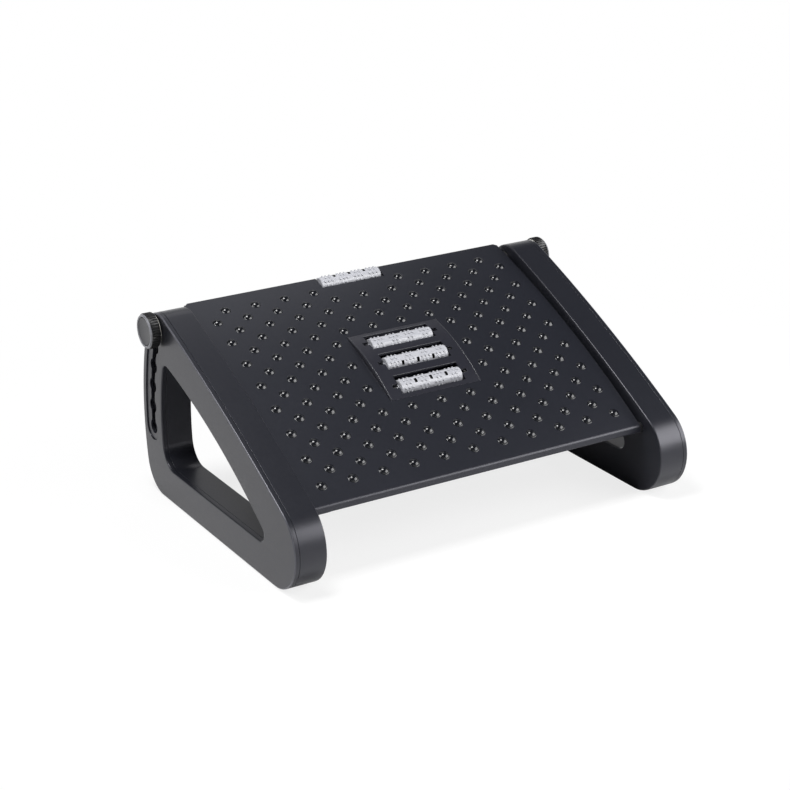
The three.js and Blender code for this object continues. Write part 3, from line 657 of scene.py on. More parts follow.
PLAIN = (1.0, 1.0, 1.0)
COOL = (0.93, 0.92, 1.0)
CLOUD_SCALE = 14.0
GRAIN = 1500.0
GLOSS_COARSER = 4
FINE_DEPTH = 0.00001
GRAIN_DEPTH = 0.00002
LEG_GRAIN_DEPTH = 0.00003
RUBBER_GRAIN_DEPTH = 0.00006
TURNED_SCALE = 900.0
RING_STRETCH = (1, 0.05, 0.05)


def shader(name):
    material = bpy.data.materials.new(name)
    material.use_nodes = True
    nodes = material.node_tree.nodes
    return material, nodes, material.node_tree.links, nodes["Principled BSDF"]


def noise(nodes, links, scale, stretch=None):
    """A noise texture in the part's own frame, stretched along an axis if asked."""
    place = nodes.new("ShaderNodeTexCoord")
    texture = nodes.new("ShaderNodeTexNoise")
    texture.inputs["Scale"].default_value = scale
    source = place.outputs["Object"]
    if stretch:
        mapping = nodes.new("ShaderNodeMapping")
        mapping.inputs["Scale"].default_value = stretch
        links.new(source, mapping.inputs["Vector"])
        source = mapping.outputs["Vector"]
    links.new(source, texture.inputs["Vector"])
    return texture.outputs["Fac"]


def between(nodes, links, value, levels, reach=(0, 1), kind="LINEAR"):
    """The levels that a value gives as it crosses its reach."""
    spread = nodes.new("ShaderNodeMapRange")
    spread.interpolation_type = kind
    spread.inputs["From Min"].default_value, spread.inputs["From Max"].default_value = reach
    spread.inputs["To Min"].default_value, spread.inputs["To Max"].default_value = levels
    links.new(value, spread.inputs["Value"])
    return spread.outputs["Result"]


def mixed_colour(nodes, links, value, dark, light):
    """A colour that goes from dark to light with the value."""
    colour = nodes.new("ShaderNodeMix")
    colour.data_type = "RGBA"
    colour.inputs[6].default_value = (*dark, 1)
    colour.inputs[7].default_value = (*light, 1)
    links.new(value, colour.inputs[0])
    return colour.outputs[2]


def moulded(name, dark, light, rough, depth=GRAIN_DEPTH, grain=GRAIN, tint=PLAIN):
    """Moulded plastic: a slightly uneven colour, gloss that varies and a fine grain."""
    material, nodes, links, surface = shader(name)
    clouds = noise(nodes, links, CLOUD_SCALE)
    links.new(mixed_colour(nodes, links, clouds, dark, light), surface.inputs["Base Color"])
    uneven = noise(nodes, links, grain / GLOSS_COARSER)
    links.new(between(nodes, links, uneven, rough), surface.inputs["Roughness"])
    bump = nodes.new("ShaderNodeBump")
    bump.inputs["Strength"].default_value = 1.0
    bump.inputs["Distance"].default_value = depth
    links.new(noise(nodes, links, grain), bump.inputs["Height"])
    links.new(bump.outputs["Normal"], surface.inputs["Normal"])
    surface.inputs["Specular Tint"].default_value = (*tint, 1)
    return material


def turned_metal(name, dark, light, rough):
    """Turned metal: fine rings of lighter and darker metal along the axis."""
    material, nodes, links, surface = shader(name)
    rings = noise(nodes, links, TURNED_SCALE, RING_STRETCH)
    links.new(mixed_colour(nodes, links, rings, dark, light), surface.inputs["Base Color"])
    links.new(between(nodes, links, rings, rough), surface.inputs["Roughness"])
    surface.inputs["Metallic"].default_value = 1.0
    return material


LEG = moulded(
    "leg_plastic", (0.009, 0.0098, 0.014), (0.013, 0.0138, 0.018), (0.27, 0.37), LEG_GRAIN_DEPTH, tint=COOL
)
DECK = moulded("deck_plastic", (0.007, 0.008, 0.012), (0.010, 0.011, 0.016), (0.33, 0.41), tint=COOL)
# The bumps: the deck's plastic with a glossier finish, coloured darker than the deck as painted shade on
# the domes
SHADED_BUMP = moulded("bump_painted_shade", (0.004, 0.0045, 0.007), (0.006, 0.0065, 0.009), (0.15, 0.21), FINE_DEPTH)
CASSETTE = moulded(
    "cassette_plastic", (0.010, 0.0105, 0.016), (0.014, 0.0145, 0.020), (0.32, 0.40), tint=COOL
)
# A paler copy of the dark plastic for the leg covers' outer rounded edges and the deck's and cassette's
# bevels: a painted highlight along those edges
EDGE_HIGHLIGHT = moulded(
    "edge_painted_highlight", (0.055, 0.056, 0.066), (0.075, 0.076, 0.088), (0.30, 0.36), FINE_DEPTH, tint=COOL
)
# A paler, glossier copy of the cassette plastic for the thin beads: a painted highlight along them, on top
# of the light their raised round really catches
BEAD_HIGHLIGHT = moulded("bead_painted_highlight", (0.03, 0.031, 0.038), (0.04, 0.041, 0.048), (0.20, 0.26), FINE_DEPTH)
KNURLED = moulded("knob_plastic", (0.004, 0.004, 0.005), (0.006, 0.006, 0.007), (0.30, 0.40))
CAP = moulded("cap_plastic", (0.016, 0.017, 0.022), (0.028, 0.029, 0.035), (0.34, 0.42))
# The knob's end ring and chamfer: the grey of the knob's end face, made much paler than the dish as a
# painted highlight on the chamfer
GREY_RIM_HIGHLIGHT = moulded("knob_rim_grey_painted_highlight", (0.16, 0.162, 0.18), (0.19, 0.192, 0.21), (0.28, 0.36))
ROLLER = moulded("roller_plastic", (0.34, 0.345, 0.375), (0.42, 0.425, 0.455), (0.26, 0.34))
# Near black for the walls and floors of the roller slits: painted shade in place of the shaded hollow of
# the roller
SLIT_SHADE = moulded("slit_painted_shade", (0.003, 0.003, 0.003), (0.005, 0.005, 0.005), (0.8, 0.9))
RUBBER = moulded(
    "foot_rubber", (0.012, 0.012, 0.012), (0.02, 0.02, 0.02), (0.8, 0.9), RUBBER_GRAIN_DEPTH, GRAIN / 2
)
NYLON = moulded("nylon", (0.7, 0.69, 0.64), (0.76, 0.75, 0.7), (0.4, 0.5))
BLACK_NYLON = moulded("black_nylon", (0.01, 0.01, 0.011), (0.014, 0.014, 0.015), (0.5, 0.6))
STEEL = turned_metal("bright_steel", (0.5, 0.51, 0.52), (0.7, 0.71, 0.72), (0.2, 0.34))
BLACK_STEEL = turned_metal("black_steel", (0.02, 0.02, 0.022), (0.035, 0.035, 0.037), (0.35, 0.5))
BRASS = turned_metal("brass", (0.6, 0.42, 0.16), (0.74, 0.56, 0.27), (0.25, 0.4))


# Legs

SCREW_PLACES = [
    (LEG_CORNERS[2]["at"][0] + LEG_HEEL_ROUND / 4, (SILL_HEIGHT + FOOT_PROUD) / 2),
    (WINDOW_CORNERS[1]["at"][0] + LEG_DEPTH / 3, (SILL_HEIGHT + FOOT_PROUD) / 2),
    (WINDOW_CORNERS[1]["at"][0], PIVOT[1] + SLOT_COVER / 2),
    (
        PIVOT[0] + TILT_RADIUS / 2,
        PIVOT[1] + TILT_RADIUS / 2 * math.tan(TOP_ANGLE) + SLOT_COVER / 4,
    ),
]


def leg_shell(name, side):
    b = Builder()
    span = through(SEAM_FILLET, SEAM_DEPTH, LEG_FILLET, LEG_THICKNESS)
    slot_span = through(SLOT_FILLET, SEAM_DEPTH, SLOT_FILLET, LEG_THICKNESS)
    outer = leg_wall(b, side, leg_outline, span)
    window = leg_wall(b, side, window_outline, span, hole=True)
    slot = leg_wall(b, side, lambda offset: slot_band(INNER_SLOT_HALF, offset), slot_span, hole=True)
    pockets = []
    steps = [(0, LEG_THICKNESS - SCREW_POCKET), *fillet(SLOT_FILLET, LEG_THICKNESS, -1)[::-1]]
    for place in SCREW_PLACES:
        pocket = leg_wall(
            b, side, lambda offset, at=place: circle(at, SCREW_HEAD + GAP, offset), steps, hole=True
        )
        b.cap(pocket[0])
        pockets.append(pocket[-1])
    b.cap(outer[0], window[0], slot[0])
    b.cap(outer[-1], window[-1], slot[-1], *pockets)
    b.piece(f"shell_{name}", LEG, "legs", "leg_plastic", [f"leg_shell_{name}"])


def leg_cover(name, side):
    b = Builder()
    depth = SEAM_DEPTH - GAP
    span = through(LEG_FILLET, 0, SEAM_FILLET, depth)
    outer = leg_wall(b, side, leg_outline, span)
    # The rounded edge at the outer face takes the pale edge plastic: a painted highlight along the leg's
    # outer edge
    b.paint_first(FILLET_SIDES * len(outer[0]))
    window = leg_wall(b, side, window_outline, span, hole=True)
    steps = fillet(SLOT_FILLET, 0, 1) + [(0, RECESS_DEPTH)]
    recess = leg_wall(b, side, lambda offset: slot_band(RECESS_HALF, offset), steps, hole=True)
    slot_span = through(SLOT_FILLET, RECESS_DEPTH, SLOT_FILLET, depth)
    slot = leg_wall(b, side, scalloped_slot, slot_span, hole=True)
    b.cap(outer[0], window[0], recess[0])
    b.cap(recess[-1], slot[0])
    b.cap(outer[-1], window[-1], slot[-1])
    b.piece(f"cover_{name}", [LEG, EDGE_HIGHLIGHT], "legs", "leg_plastic", [f"leg_cover_{name}"])


def foot(name, node):
    low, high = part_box(node)
    half = (high.x - low.x) / 2
    reach = (high.y - low.y) / 2 - half
    middle = (low + high) / 2
    rim = half / 12

    def outline(offset):
        ends = ((1, 0), (-1, math.pi))
        return [
            point
            for way, start in ends
            for point in arc((middle.x, middle.y + way * reach), half, start, start + math.pi, offset)
        ]

    b = Builder()
    steps = [(-rim, low.z), (0, low.z + rim), (0, high.z)]
    rings = [b.ring([(x, y, z) for x, y in outline(offset)]) for offset, z in steps]
    b.skin(rings)
    b.cap(rings[0])
    b.cap(rings[-1])
    b.piece(name, RUBBER, "legs", "foot_rubber", [node])


def screw_profile(length):
    """A pan head screw from the top of its head to its tip, with a socket in the head."""
    head, socket = SCREW_HEAD, SCREW_HEAD / 2
    return [
        (0, socket / 2),
        (socket, socket / 2),
        (socket, 0),
        (head - socket / 3, 0),
        (head, socket / 3),
        (head, SCREW_HEAD_HEIGHT),
        (SCREW_SHANK, SCREW_HEAD_HEIGHT),
        (SCREW_SHANK, length - SCREW_SHANK),
        (0, length),
    ]


def cover_screws(name, side):
    for i, (y, z) in enumerate(SCREW_PLACES):
        node = f"cover_screw_{name}_{i + 1}"
        low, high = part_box(node)
        start = low.x if side > 0 else high.x
        b = Builder()
        b.lathe(screw_profile(high.x - low.x), (start, y, z), (side, 0, 0), SMALL_SIDES)
        b.piece(f"screw_{name}_{i + 1}", BLACK_STEEL, "legs", "black_steel", [node])


for name, side in SIDES.items():
    leg_shell(name, side)
    leg_cover(name, side)
    cover_screws(name, side)
    for place in ("front", "rear"):
        foot(f"pad_{place}_{name}", f"foot_{place}_{name}")


# Knobs

def knob_grip(name, side, outer, length):
    """The grip with its knurls, its paler rim (the grey end face, lightened further as a painted highlight
    on the chamfer), the dish for the cap and the collar behind.
    """
    crest, root, edge = KNOB_RADIUS, KNOB_RADIUS - KNURL_DEPTH, KNOB_EDGE

    def knurled(depth, radius, share):
        sides = 2 * KNURL_COUNT
        points = []
        for i in range(sides):
            reach = radius - (KNURL_DEPTH * share if i % 2 else 0)
            y, z = polar(KNOB, reach, 2 * math.pi * i / sides)
            points.append((outer - side * depth, y, z))
        return points

    b = Builder()
    steps = [
        (DISH_DEPTH, DISH_RADIUS, 0),
        (edge, DISH_RADIUS, 0),
        (0, DISH_RADIUS + edge, 0),
        (0, crest - KNOB_CHAMFER - edge / 2, 0),
        (edge / 2, crest - KNOB_CHAMFER, 0),
        (KNOB_CHAMFER, root, 0),
        (KNOB_CHAMFER + edge, crest, 1),
        (KNOB_HEIGHT - KNOB_CHAMFER / 2, crest, 1),
        (KNOB_HEIGHT, crest - KNOB_CHAMFER / 2, 0),
        (KNOB_HEIGHT, COLLAR_RADIUS, 0),
        (length - edge, COLLAR_RADIUS, 0),
        (length, COLLAR_RADIUS - edge, 0),
        (length, STUD_RADIUS + GAP, 0),
        (DISH_DEPTH, STUD_RADIUS + GAP, 0),
    ]
    rings = [b.ring(knurled(*step)) for step in steps]
    b.skin([*rings, rings[0]])
    # The end ring and chamfer take the pale rim material: grey end face with a painted highlight
    b.paint_first(RIM_BANDS * 2 * KNURL_COUNT)
    b.piece(f"grip_{name}", [KNURLED, GREY_RIM_HIGHLIGHT], f"knob_{name}", "knob_plastic", [f"knob_{name}"])


def knob_cap(name, side, outer):
    """The dished disc in the end of the grip."""
    back, rim, edge = DISH_DEPTH - GAP, DISH_RADIUS - GAP, KNOB_EDGE
    profile = [
        (0, back),
        (rim, back),
        (rim, back - CAP_THICKNESS + edge),
        (rim - edge, back - CAP_THICKNESS),
        (rim - 3 * edge, back - CAP_THICKNESS),
        (rim - 6 * edge, back - CAP_THICKNESS + CAP_DISH),
        (0, back - CAP_THICKNESS + CAP_DISH),
    ]
    b = Builder()
    b.lathe(profile, (outer, *KNOB), (-side, 0, 0), DISC_SIDES)
    b.piece(f"disc_{name}", CAP, f"knob_{name}", "cap_plastic", [f"knob_cap_{name}"])


def knob_stud(name, side):
    """The stud, with a thread on its inner half."""
    low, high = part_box(f"knob_stud_{name}")
    head = high.x if side > 0 else low.x
    size = (high.z - low.z) / 2
    length = high.x - low.x
    thread = STUD_RADIUS / 5
    profile = [(0, 0), (size, 0), (size, size / 2), (STUD_RADIUS, size / 2)]
    distance = length / 2
    while distance < length - 2 * thread:
        profile += [(STUD_RADIUS, distance), (STUD_RADIUS - thread, distance + thread)]
        distance += 2 * thread
    profile += [(STUD_RADIUS - thread, length), (0, length)]
    b = Builder()
    b.lathe(profile, (head, *KNOB), (-side, 0, 0))
    b.piece(f"stud_{name}", STEEL, f"knob_{name}", "bright_steel", [f"knob_stud_{name}"])


def knob(name, side):
    low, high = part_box(f"knob_{name}")
    outer = high.x if side > 0 else low.x
    knob_grip(name, side, outer, high.x - low.x)
    knob_cap(name, side, outer)
    knob_stud(name, side)


def washer(name, node, at, bore, material, body, slot):
    low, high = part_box(node)
    radius, width = (high.z - low.z) / 2, high.x - low.x
    b = Builder()
    b.lathe(turned(bore, radius, width, WASHER_EDGE), (low.x, *at), (1, 0, 0), DISC_SIDES)
    b.piece(name, material, body, slot, [node])


COLLAR_BORE = COLLAR_RADIUS + GAP
STUD_BORE = STUD_RADIUS + GAP
for name, side in SIDES.items():
    knob(name, side)
    washer(f"thrust_{name}", f"knob_washer_{name}", KNOB, COLLAR_BORE, NYLON, f"washer_{name}", "nylon")
    for place, at in (("stud", KNOB), ("pivot", PIVOT)):
        node = f"{place}_washer_{name}"
        washer(f"{place}_spacer_{name}", node, at, STUD_BORE, BLACK_NYLON, "platform", "black_nylon")


# Platform

def bump_places():
    margin = BUMP_RADIUS + GAP
    for row in range(ROW_COUNT):
        s = ROW_START + row * ROW_PITCH
        count = BUMP_COLUMNS + row % 2
        for i in range(count):
            x = (i - (count - 1) / 2) * BUMP_PITCH
            on_cassette = (
                abs(x) < CASSETTE_HALF + margin and CASSETTE_REAR - margin < s < CASSETTE_FRONT + margin
            )
            on_notch = abs(x) < NOTCH_HALF + margin and s < EDGE_NOTCH_END + 2 * margin
            if not on_cassette and not on_notch:
                yield x, s


def bump_profile():
    """A dome that flows into the platform through a fillet, from its top outwards."""
    dome = (BUMP_RADIUS**2 + BUMP_HEIGHT**2) / (2 * BUMP_HEIGHT)
    centre = BUMP_HEIGHT - dome
    reach = dome + BUMP_FILLET
    foot_radius = math.sqrt(reach**2 - (BUMP_FILLET - centre) ** 2)
    turn = math.atan2(foot_radius, BUMP_FILLET - centre)
    steps = 2 * FILLET_SIDES
    profile = [
        (dome * math.sin(turn * i / steps), centre + dome * math.cos(turn * i / steps))
        for i in range(steps + 1)
    ]
    for i in range(1, FILLET_SIDES + 1):
        lean = turn * (1 - i / FILLET_SIDES)
        profile.append(
            (foot_radius - BUMP_FILLET * math.sin(lean), BUMP_FILLET * (1 - math.cos(lean)))
        )
    return [(radius, h - INSET) for radius, h in profile]


def deck_plate():
    """The plate with its rolled front lip and rear skirt; the openings for the rollers are cut from it
    afterwards.
    """
    top = deck_curve(0, DECK_LENGTH, 0)
    lip_start = DECK_LENGTH - DECK_LIP_LENGTH
    under = deck_curve(lip_start, DECK_SKIRT_WALL, -DECK_PLATE)
    outline = [
        *top,
        deck_point(DECK_LENGTH + DECK_LIP_LEAN, -DECK_LIP),
        deck_point(lip_start + DECK_LIP_LEAN, -DECK_LIP),
        *under,
        deck_point(DECK_SKIRT_WALL, -DECK_REAR_SKIRT),
        deck_point(0, -DECK_REAR_SKIRT),
    ]
    lip = len(top)
    rounds = {0: DECK_EDGE_ROUND, lip - 1: DECK_LIP_ROUND, lip: DECK_EDGE_ROUND, lip + 1: DECK_EDGE_ROUND}
    b = Builder()
    b.prism(with_rounds(outline, rounds), -DECK_HALF, DECK_HALF)
    return b


def deck_cutters():
    over = DECK_SKIRT
    notch = Builder()
    notch.prism(band(deck_curve, -over, EDGE_NOTCH_END, over, -over), -NOTCH_HALF, NOTCH_HALF)
    opening = Builder()
    rear, front = CASSETTE_REAR - GAP, CASSETTE_FRONT + GAP
    half = CASSETTE_HALF + GAP
    opening.prism(band(deck_curve, rear, front, over, -over), -half, half)
    corners = []
    for side in SIDES.values():
        corner = Builder()
        middle = Vector((side * DECK_HALF, *deck_point(0, -over)))
        corner.lathe(rod(DECK_CORNER, 2 * over), middle, deck_up(0), CORNER_SIDES)
        corners.append(corner)
    return [notch, opening, *corners]


def deck_underside(b):
    """Side skirts, ribs and bosses."""
    rear, front = DECK_SKIRT_WALL / 2, DECK_LENGTH - DECK_LIP_LENGTH / 2
    tucked = -DECK_PLATE / 2
    pivot_s = along_deck(PIVOT)
    pivot_h = math.hypot(PIVOT[0] - DECK_CENTRE[0], PIVOT[1] - DECK_CENTRE[1]) - DECK_BOW
    skirt = [
        *deck_curve(rear, front, tucked),
        deck_point(pivot_s - PIVOT_BOSS / 2, pivot_h - PIVOT_BOSS / 2),
        *deck_curve(DECK_SKIRT_FULL, rear, -DECK_SKIRT),
    ]
    for side in SIDES.values():
        b.prism(skirt, side * (DECK_HALF - DECK_SKIRT_WALL), side * (DECK_HALF - INSET))
        inside = side * (DECK_HALF - BOSS_LENGTH)
        for at, radius in ((PIVOT, PIVOT_BOSS), (KNOB, STUD_BOSS)):
            b.lathe(rod(radius, BOSS_LENGTH), (inside, *at), (side, 0, 0))
    for s in (CASSETTE_REAR - EAR_WIDTH, CASSETTE_FRONT + EAR_WIDTH):
        rib = band(deck_curve, s, s + RIB_WALL, tucked, -RIB_DEPTH)
        b.prism(rib, GAP - DECK_HALF, DECK_HALF - GAP)
    rib_end = DECK_LENGTH - 3 * DECK_LIP_LENGTH
    long_rib = band(deck_curve, rear, rib_end, tucked, RIB_WALL / 2 - RIB_DEPTH)
    near = CASSETTE_HALF + LONG_RIB_FROM_CASSETTE
    for x in (near, (near + DECK_HALF) / 2):
        for middle in (-x, x):
            b.prism(long_rib, middle - RIB_WALL / 2, middle + RIB_WALL / 2)
    ear_end = EDGE_FROM_REAR + AXLE_SEAT
    ear = band(deck_curve, rear, ear_end, tucked, -EDGE_DROP - AXLE_SEAT)
    for side in SIDES.values():
        b.prism(ear, side * NOTCH_HALF, side * (NOTCH_HALF + EDGE_EAR_WALL))
    boss_end = -(CASSETTE_DEPTH - EAR_THICKNESS - GAP)
    for x, s in EAR_PLACES:
        b.lathe(rod(SCREW_BOSS, tucked - boss_end), (x, *deck_point(s, boss_end)), deck_up(s))


def platform_deck():
    b = cut(deck_plate(), deck_cutters())
    deck_underside(b)
    # Its bevels take the pale edge plastic: a painted highlight along the deck's rounded edges
    b.piece("deck", [DECK, EDGE_HIGHLIGHT], "platform", "deck_plastic", ["platform_deck"], DECK_BEVEL)


def deck_bumps():
    b = Builder()
    profile = bump_profile()
    for x, s in bump_places():
        b.lathe(profile, (x, *deck_point(s, 0)), deck_up(s), BUMP_SIDES)
    # Darker than the deck around them: painted shade on the domes
    b.piece("deck_bumps", SHADED_BUMP, "platform", "deck_plastic")


platform_deck()
deck_bumps()


# Roller cassette

def cassette_roof():
    reach = CASSETTE_REACH
    inner = reach - CASSETTE_WALL
    top = cassette_curve(-reach, reach, 0)
    under = cassette_curve(inner, -inner, -CASSETTE_PLATE)
    outline = [
        *top,
        deck_point(CASSETTE_FRONT, -CASSETTE_DEPTH),
        deck_point(CASSETTE_FRONT - CASSETTE_WALL, -CASSETTE_DEPTH),
        *under,
        deck_point(CASSETTE_REAR + CASSETTE_WALL, -CASSETTE_DEPTH),
        deck_point(CASSETTE_REAR, -CASSETTE_DEPTH),
    ]
    b = Builder()
    b.prism(outline, -CASSETTE_HALF, CASSETTE_HALF)
    return b


def cassette_cutters():
    over = CASSETTE_DEPTH
    cutters = []
    for name in CASSETTE_ROLLERS:
        t = along_cassette(ROLLER_AXES[name])
        rear = t - ROLLER_RADIUS - WINDOW_REAR_GAP
        front = t + ROLLER_RADIUS + WINDOW_FRONT_GAP
        window = Builder()
        window.prism(band(cassette_curve, rear, front, over, -over), -NOTCH_HALF, NOTCH_HALF)
        notch = Builder()
        ease = AXLE_RADIUS + GAP
        outline = band(cassette_curve, t - ease, t + ease, over, -over)
        notch.prism(outline, -AXLE_HALF - GAP, AXLE_HALF + GAP)
        cutters += [window, notch]
    return cutters


def roller_cassette():
    b = cut(cassette_roof(), cassette_cutters())
    reach = CASSETTE_REACH - GAP
    low = -CASSETTE_DEPTH
    wall = [
        *cassette_curve(-reach, reach, -CASSETTE_PLATE / 2),
        deck_point(CASSETTE_FRONT - GAP, low),
        deck_point(CASSETTE_REAR + GAP, low),
    ]
    cradle = [
        *cassette_curve(-reach, reach, -ROLLER_CORE),
        deck_point(CASSETTE_FRONT - GAP, low),
        deck_point(CASSETTE_REAR + GAP, low),
    ]
    for side in SIDES.values():
        b.prism(wall, side * (CASSETTE_HALF - CASSETTE_WALL), side * (CASSETTE_HALF - INSET))
        b.prism(cradle, side * (NOTCH_HALF + CASSETTE_PLATE / 2), side * (AXLE_HALF + CASSETTE_WALL))
    tray_half = NOTCH_HALF + CASSETTE_PLATE
    rear, front = CASSETTE_REAR + CASSETTE_WALL / 2, CASSETTE_FRONT - CASSETTE_WALL / 2
    tray_low = low + CASSETTE_TRAY_LIFT
    tray = band(deck_curve, rear, front, tray_low + CASSETTE_TRAY, tray_low)
    b.prism(tray, -tray_half, tray_half)
    for x, s in EAR_PLACES:
        side = math.copysign(1, x)
        ear = band(deck_curve, s - EAR_WIDTH / 2, s + EAR_WIDTH / 2, low + EAR_THICKNESS, low)
        b.prism(ear, side * (CASSETTE_HALF - CASSETTE_WALL), side * (CASSETTE_HALF + GAP + EAR_REACH))
    replaced = ["roller_cassette"]
    # Its bevels take the pale edge plastic: a painted highlight along the cassette's rounded edges
    b.piece("cassette", [CASSETTE, EDGE_HIGHLIGHT], "platform", "cassette_plastic", replaced, CASSETTE_BEVEL)


def cassette_beads():
    """Thin raised lips along the cassette's sides and behind the windows, in a paler plastic that paints a
    highlight along them.
    """
    b = Builder()
    reach = CASSETTE_REACH - CASSETTE_BEVEL
    inner = CASSETTE_HALF - CASSETTE_BEVEL - BEAD_WIDTH
    long_bead = band(cassette_curve, -reach, reach, BEAD_RISE, -BEAD_WIDTH)
    for side in SIDES.values():
        b.prism(long_bead, side * inner, side * (inner + BEAD_WIDTH))
    for name in CASSETTE_ROLLERS:
        rear = along_cassette(ROLLER_AXES[name]) - ROLLER_RADIUS - WINDOW_REAR_GAP
        bead = band(cassette_curve, rear - BEAD_WIDTH, rear, BEAD_RISE, -BEAD_WIDTH)
        b.prism(bead, -NOTCH_HALF, NOTCH_HALF)
    b.piece("cassette_beads", BEAD_HIGHLIGHT, "platform", "cassette_plastic", bevel=BEAD_RISE)


def cassette_screws():
    for i, (x, s) in enumerate(EAR_PLACES):
        seat = -CASSETTE_DEPTH - GAP - SCREW_HEAD_HEIGHT
        b = Builder()
        b.lathe(screw_profile(-DECK_PLATE - seat), (x, *deck_point(s, seat)), deck_up(s), SMALL_SIDES)
        b.piece(f"panel_screw_{i + 1}", BLACK_STEEL, "platform", "black_steel", [f"cassette_screw_{i + 1}"])


roller_cassette()
cassette_beads()
cassette_screws()


# Rollers

def pocket(b, loops):
    """The inside of a slit, coloured near black as painted shade, through loops of points from one of its
    long edges to the other.
    """
    faces = [b.mesh.faces.new([loop[end] for loop in loops]) for end in (0, -1)]
    for a, c in zip(loops, loops[1:]):
        faces += [b.mesh.faces.new((a[i], a[i + 1], c[i + 1], c[i])) for i in range(len(a) - 1)]
    for face in faces:
        face.material_index = 1


def roller_core(b, axis, slit_turn):
    """The roller's tube, with three slits in one line whose insides are coloured near black as painted
    shade.
    """
    step = 2 * math.pi / ROLLER_SIDES
    cells = round(SLIT_LENGTH / ROLLER_CORE / step / 2)
    slitted = range(-cells - 1, cells + 1)

    def ring(x, radius, places=range(ROLLER_SIDES)):
        return b.ring_at(x, [polar(axis, radius, slit_turn + step * (i + 0.5)) for i in places])

    end = ROLLER_CORE - ROLLER_CHAMFER
    stations = [(-ROLLER_HALF, end), (ROLLER_CHAMFER - ROLLER_HALF, ROLLER_CORE)]
    for i in range(1, ROLLER_QUARTERS):
        middle = 2 * ROLLER_HALF * i / ROLLER_QUARTERS - ROLLER_HALF
        stations += [(middle - SLIT_WIDTH / 2, ROLLER_CORE), (middle + SLIT_WIDTH / 2, ROLLER_CORE)]
    stations += [(ROLLER_HALF - ROLLER_CHAMFER, ROLLER_CORE), (ROLLER_HALF, end)]
    rings = [ring(*station) for station in stations]
    for a, (low, high) in enumerate(zip(rings, rings[1:])):
        kept = range(ROLLER_SIDES)
        if a % 2 == 0 and 0 < a < len(rings) - 2:
            kept = range(cells, ROLLER_SIDES - 1 - cells)
            floors = [ring(x, ROLLER_CORE - SLIT_DEPTH, slitted) for x, _ in stations[a:a + 2]]
            pocket(b, [[low[i] for i in slitted], *floors, [high[i] for i in slitted]])
        for i in kept:
            k = (i + 1) % ROLLER_SIDES
            b.mesh.faces.new((low[i], low[k], high[k], high[i]))
    b.mesh.faces.new(rings[0])
    b.mesh.faces.new(rings[-1])


def pimple_places():
    """Places (x, row) of the pimples: pairs in each quarter of one row, threes in the next."""
    quarter = 2 * ROLLER_HALF / ROLLER_QUARTERS
    for row in range(ROLLER_ROWS):
        count = 2 + row % 2
        for i in range(ROLLER_QUARTERS):
            middle = (i + 0.5) * quarter - ROLLER_HALF
            for k in range(count):
                yield middle + (k - (count - 1) / 2) * PIMPLE_PITCH, row


def roller(name, axis, slit_turn):
    b = Builder()
    roller_core(b, axis, slit_turn)
    height = ROLLER_RADIUS - ROLLER_CORE - INSET
    profile = [(PIMPLE_RADIUS * out, height * up) for out, up in PIMPLE_SHARES]
    for x, row in pimple_places():
        turn = slit_turn + 2 * math.pi * (row + 0.5) / ROLLER_ROWS
        y, z = polar(axis, ROLLER_CORE, turn)
        b.lathe(profile, (x, y, z), (0, math.cos(turn), math.sin(turn)), PIMPLE_SIDES)
    for side in SIDES.values():
        b.lathe(rod(STUB_RADIUS, STUB_LENGTH), (side * ROLLER_HALF, *axis), (side, 0, 0), SMALL_SIDES)
    # The slit pockets take the second material: near black, painted shade
    b.piece(f"massage_{name}", [ROLLER, SLIT_SHADE], f"roller_{name}", "roller_plastic", [f"roller_{name}"])


def axle(name, axis):
    low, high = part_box(f"axle_{name}")
    profile = turned(0, AXLE_RADIUS, high.x - low.x, AXLE_RADIUS / 5)
    b = Builder()
    b.lathe(profile, (low.x, *axis), (1, 0, 0), SMALL_SIDES)
    b.piece(f"spindle_{name}", STEEL, "platform", "bright_steel", [f"axle_{name}"])


SLIT_TURNS = {
    "rear": math.radians(250),
    "middle": math.radians(162),
    "front": math.radians(125),
    "edge": math.radians(97),
}
for name, axis in ROLLER_AXES.items():
    roller(name, axis, SLIT_TURNS[name])
    axle(name, axis)


# The hidden hardware keeps its solids and gets its finish

FINISHES = {"pivot_bolt": STEEL, "pivot_bush": NYLON, "pivot_insert": BRASS, "stud_insert": BRASS}
for node, finish in FINISHES.items():
    for name in SIDES:
        solid = frame["nodes"][f"{node}_{name}"]
        solid.data.materials.clear()
        solid.data.materials.append(finish)


# Studio

WHITE = (1, 1, 1, 1)
FLOOR_COLOUR = (0.9, 0.9, 0.9, 1)
FLOOR_HALF = 6.0
FLOOR_GLOW_SHARE = 0.8
SHADOW_REACH = (0.3, 0.7)
MIRROR_REACH = (0.24, 0.5)
BACKDROP_FALL = (0.1, 0.6)
SKY_LEVEL = 0.05
MIDDLE = (0, 0, 0.1)
SOFTBOXES = {
    "softbox_top": {"at": (-0.46, -0.03, 1.73), "size": (0.6, 0.6), "power": 27},
    "softbox_right": {"at": (1.12, -1.08, 0.86), "size": (1.7, 1.0), "power": 34},
    "softbox_left": {"at": (-1.29, 0.2, 1.2), "size": (0.7, 0.5), "power": 6},
    "softbox_back": {"at": (0.42, 1.15, 1.4), "size": (0.9, 0.7), "power": 2},
}


def combine(nodes, links, operation, first, second):
    node = nodes.new("ShaderNodeMath")
    node.operation = operation
    links.new(first, node.inputs[0])
    links.new(second, node.inputs[1])
    return node.outputs[0]


def rays(nodes, links):
    """Whether a ray comes straight from the camera, and whether it was mirrored or went through."""
    path = nodes.new("ShaderNodeLightPath")
    glossy, through_glass = path.outputs["Is Glossy Ray"], path.outputs["Is Transmission Ray"]
    return path.outputs["Is Camera Ray"], combine(nodes, links, "MAXIMUM", glossy, through_glass)


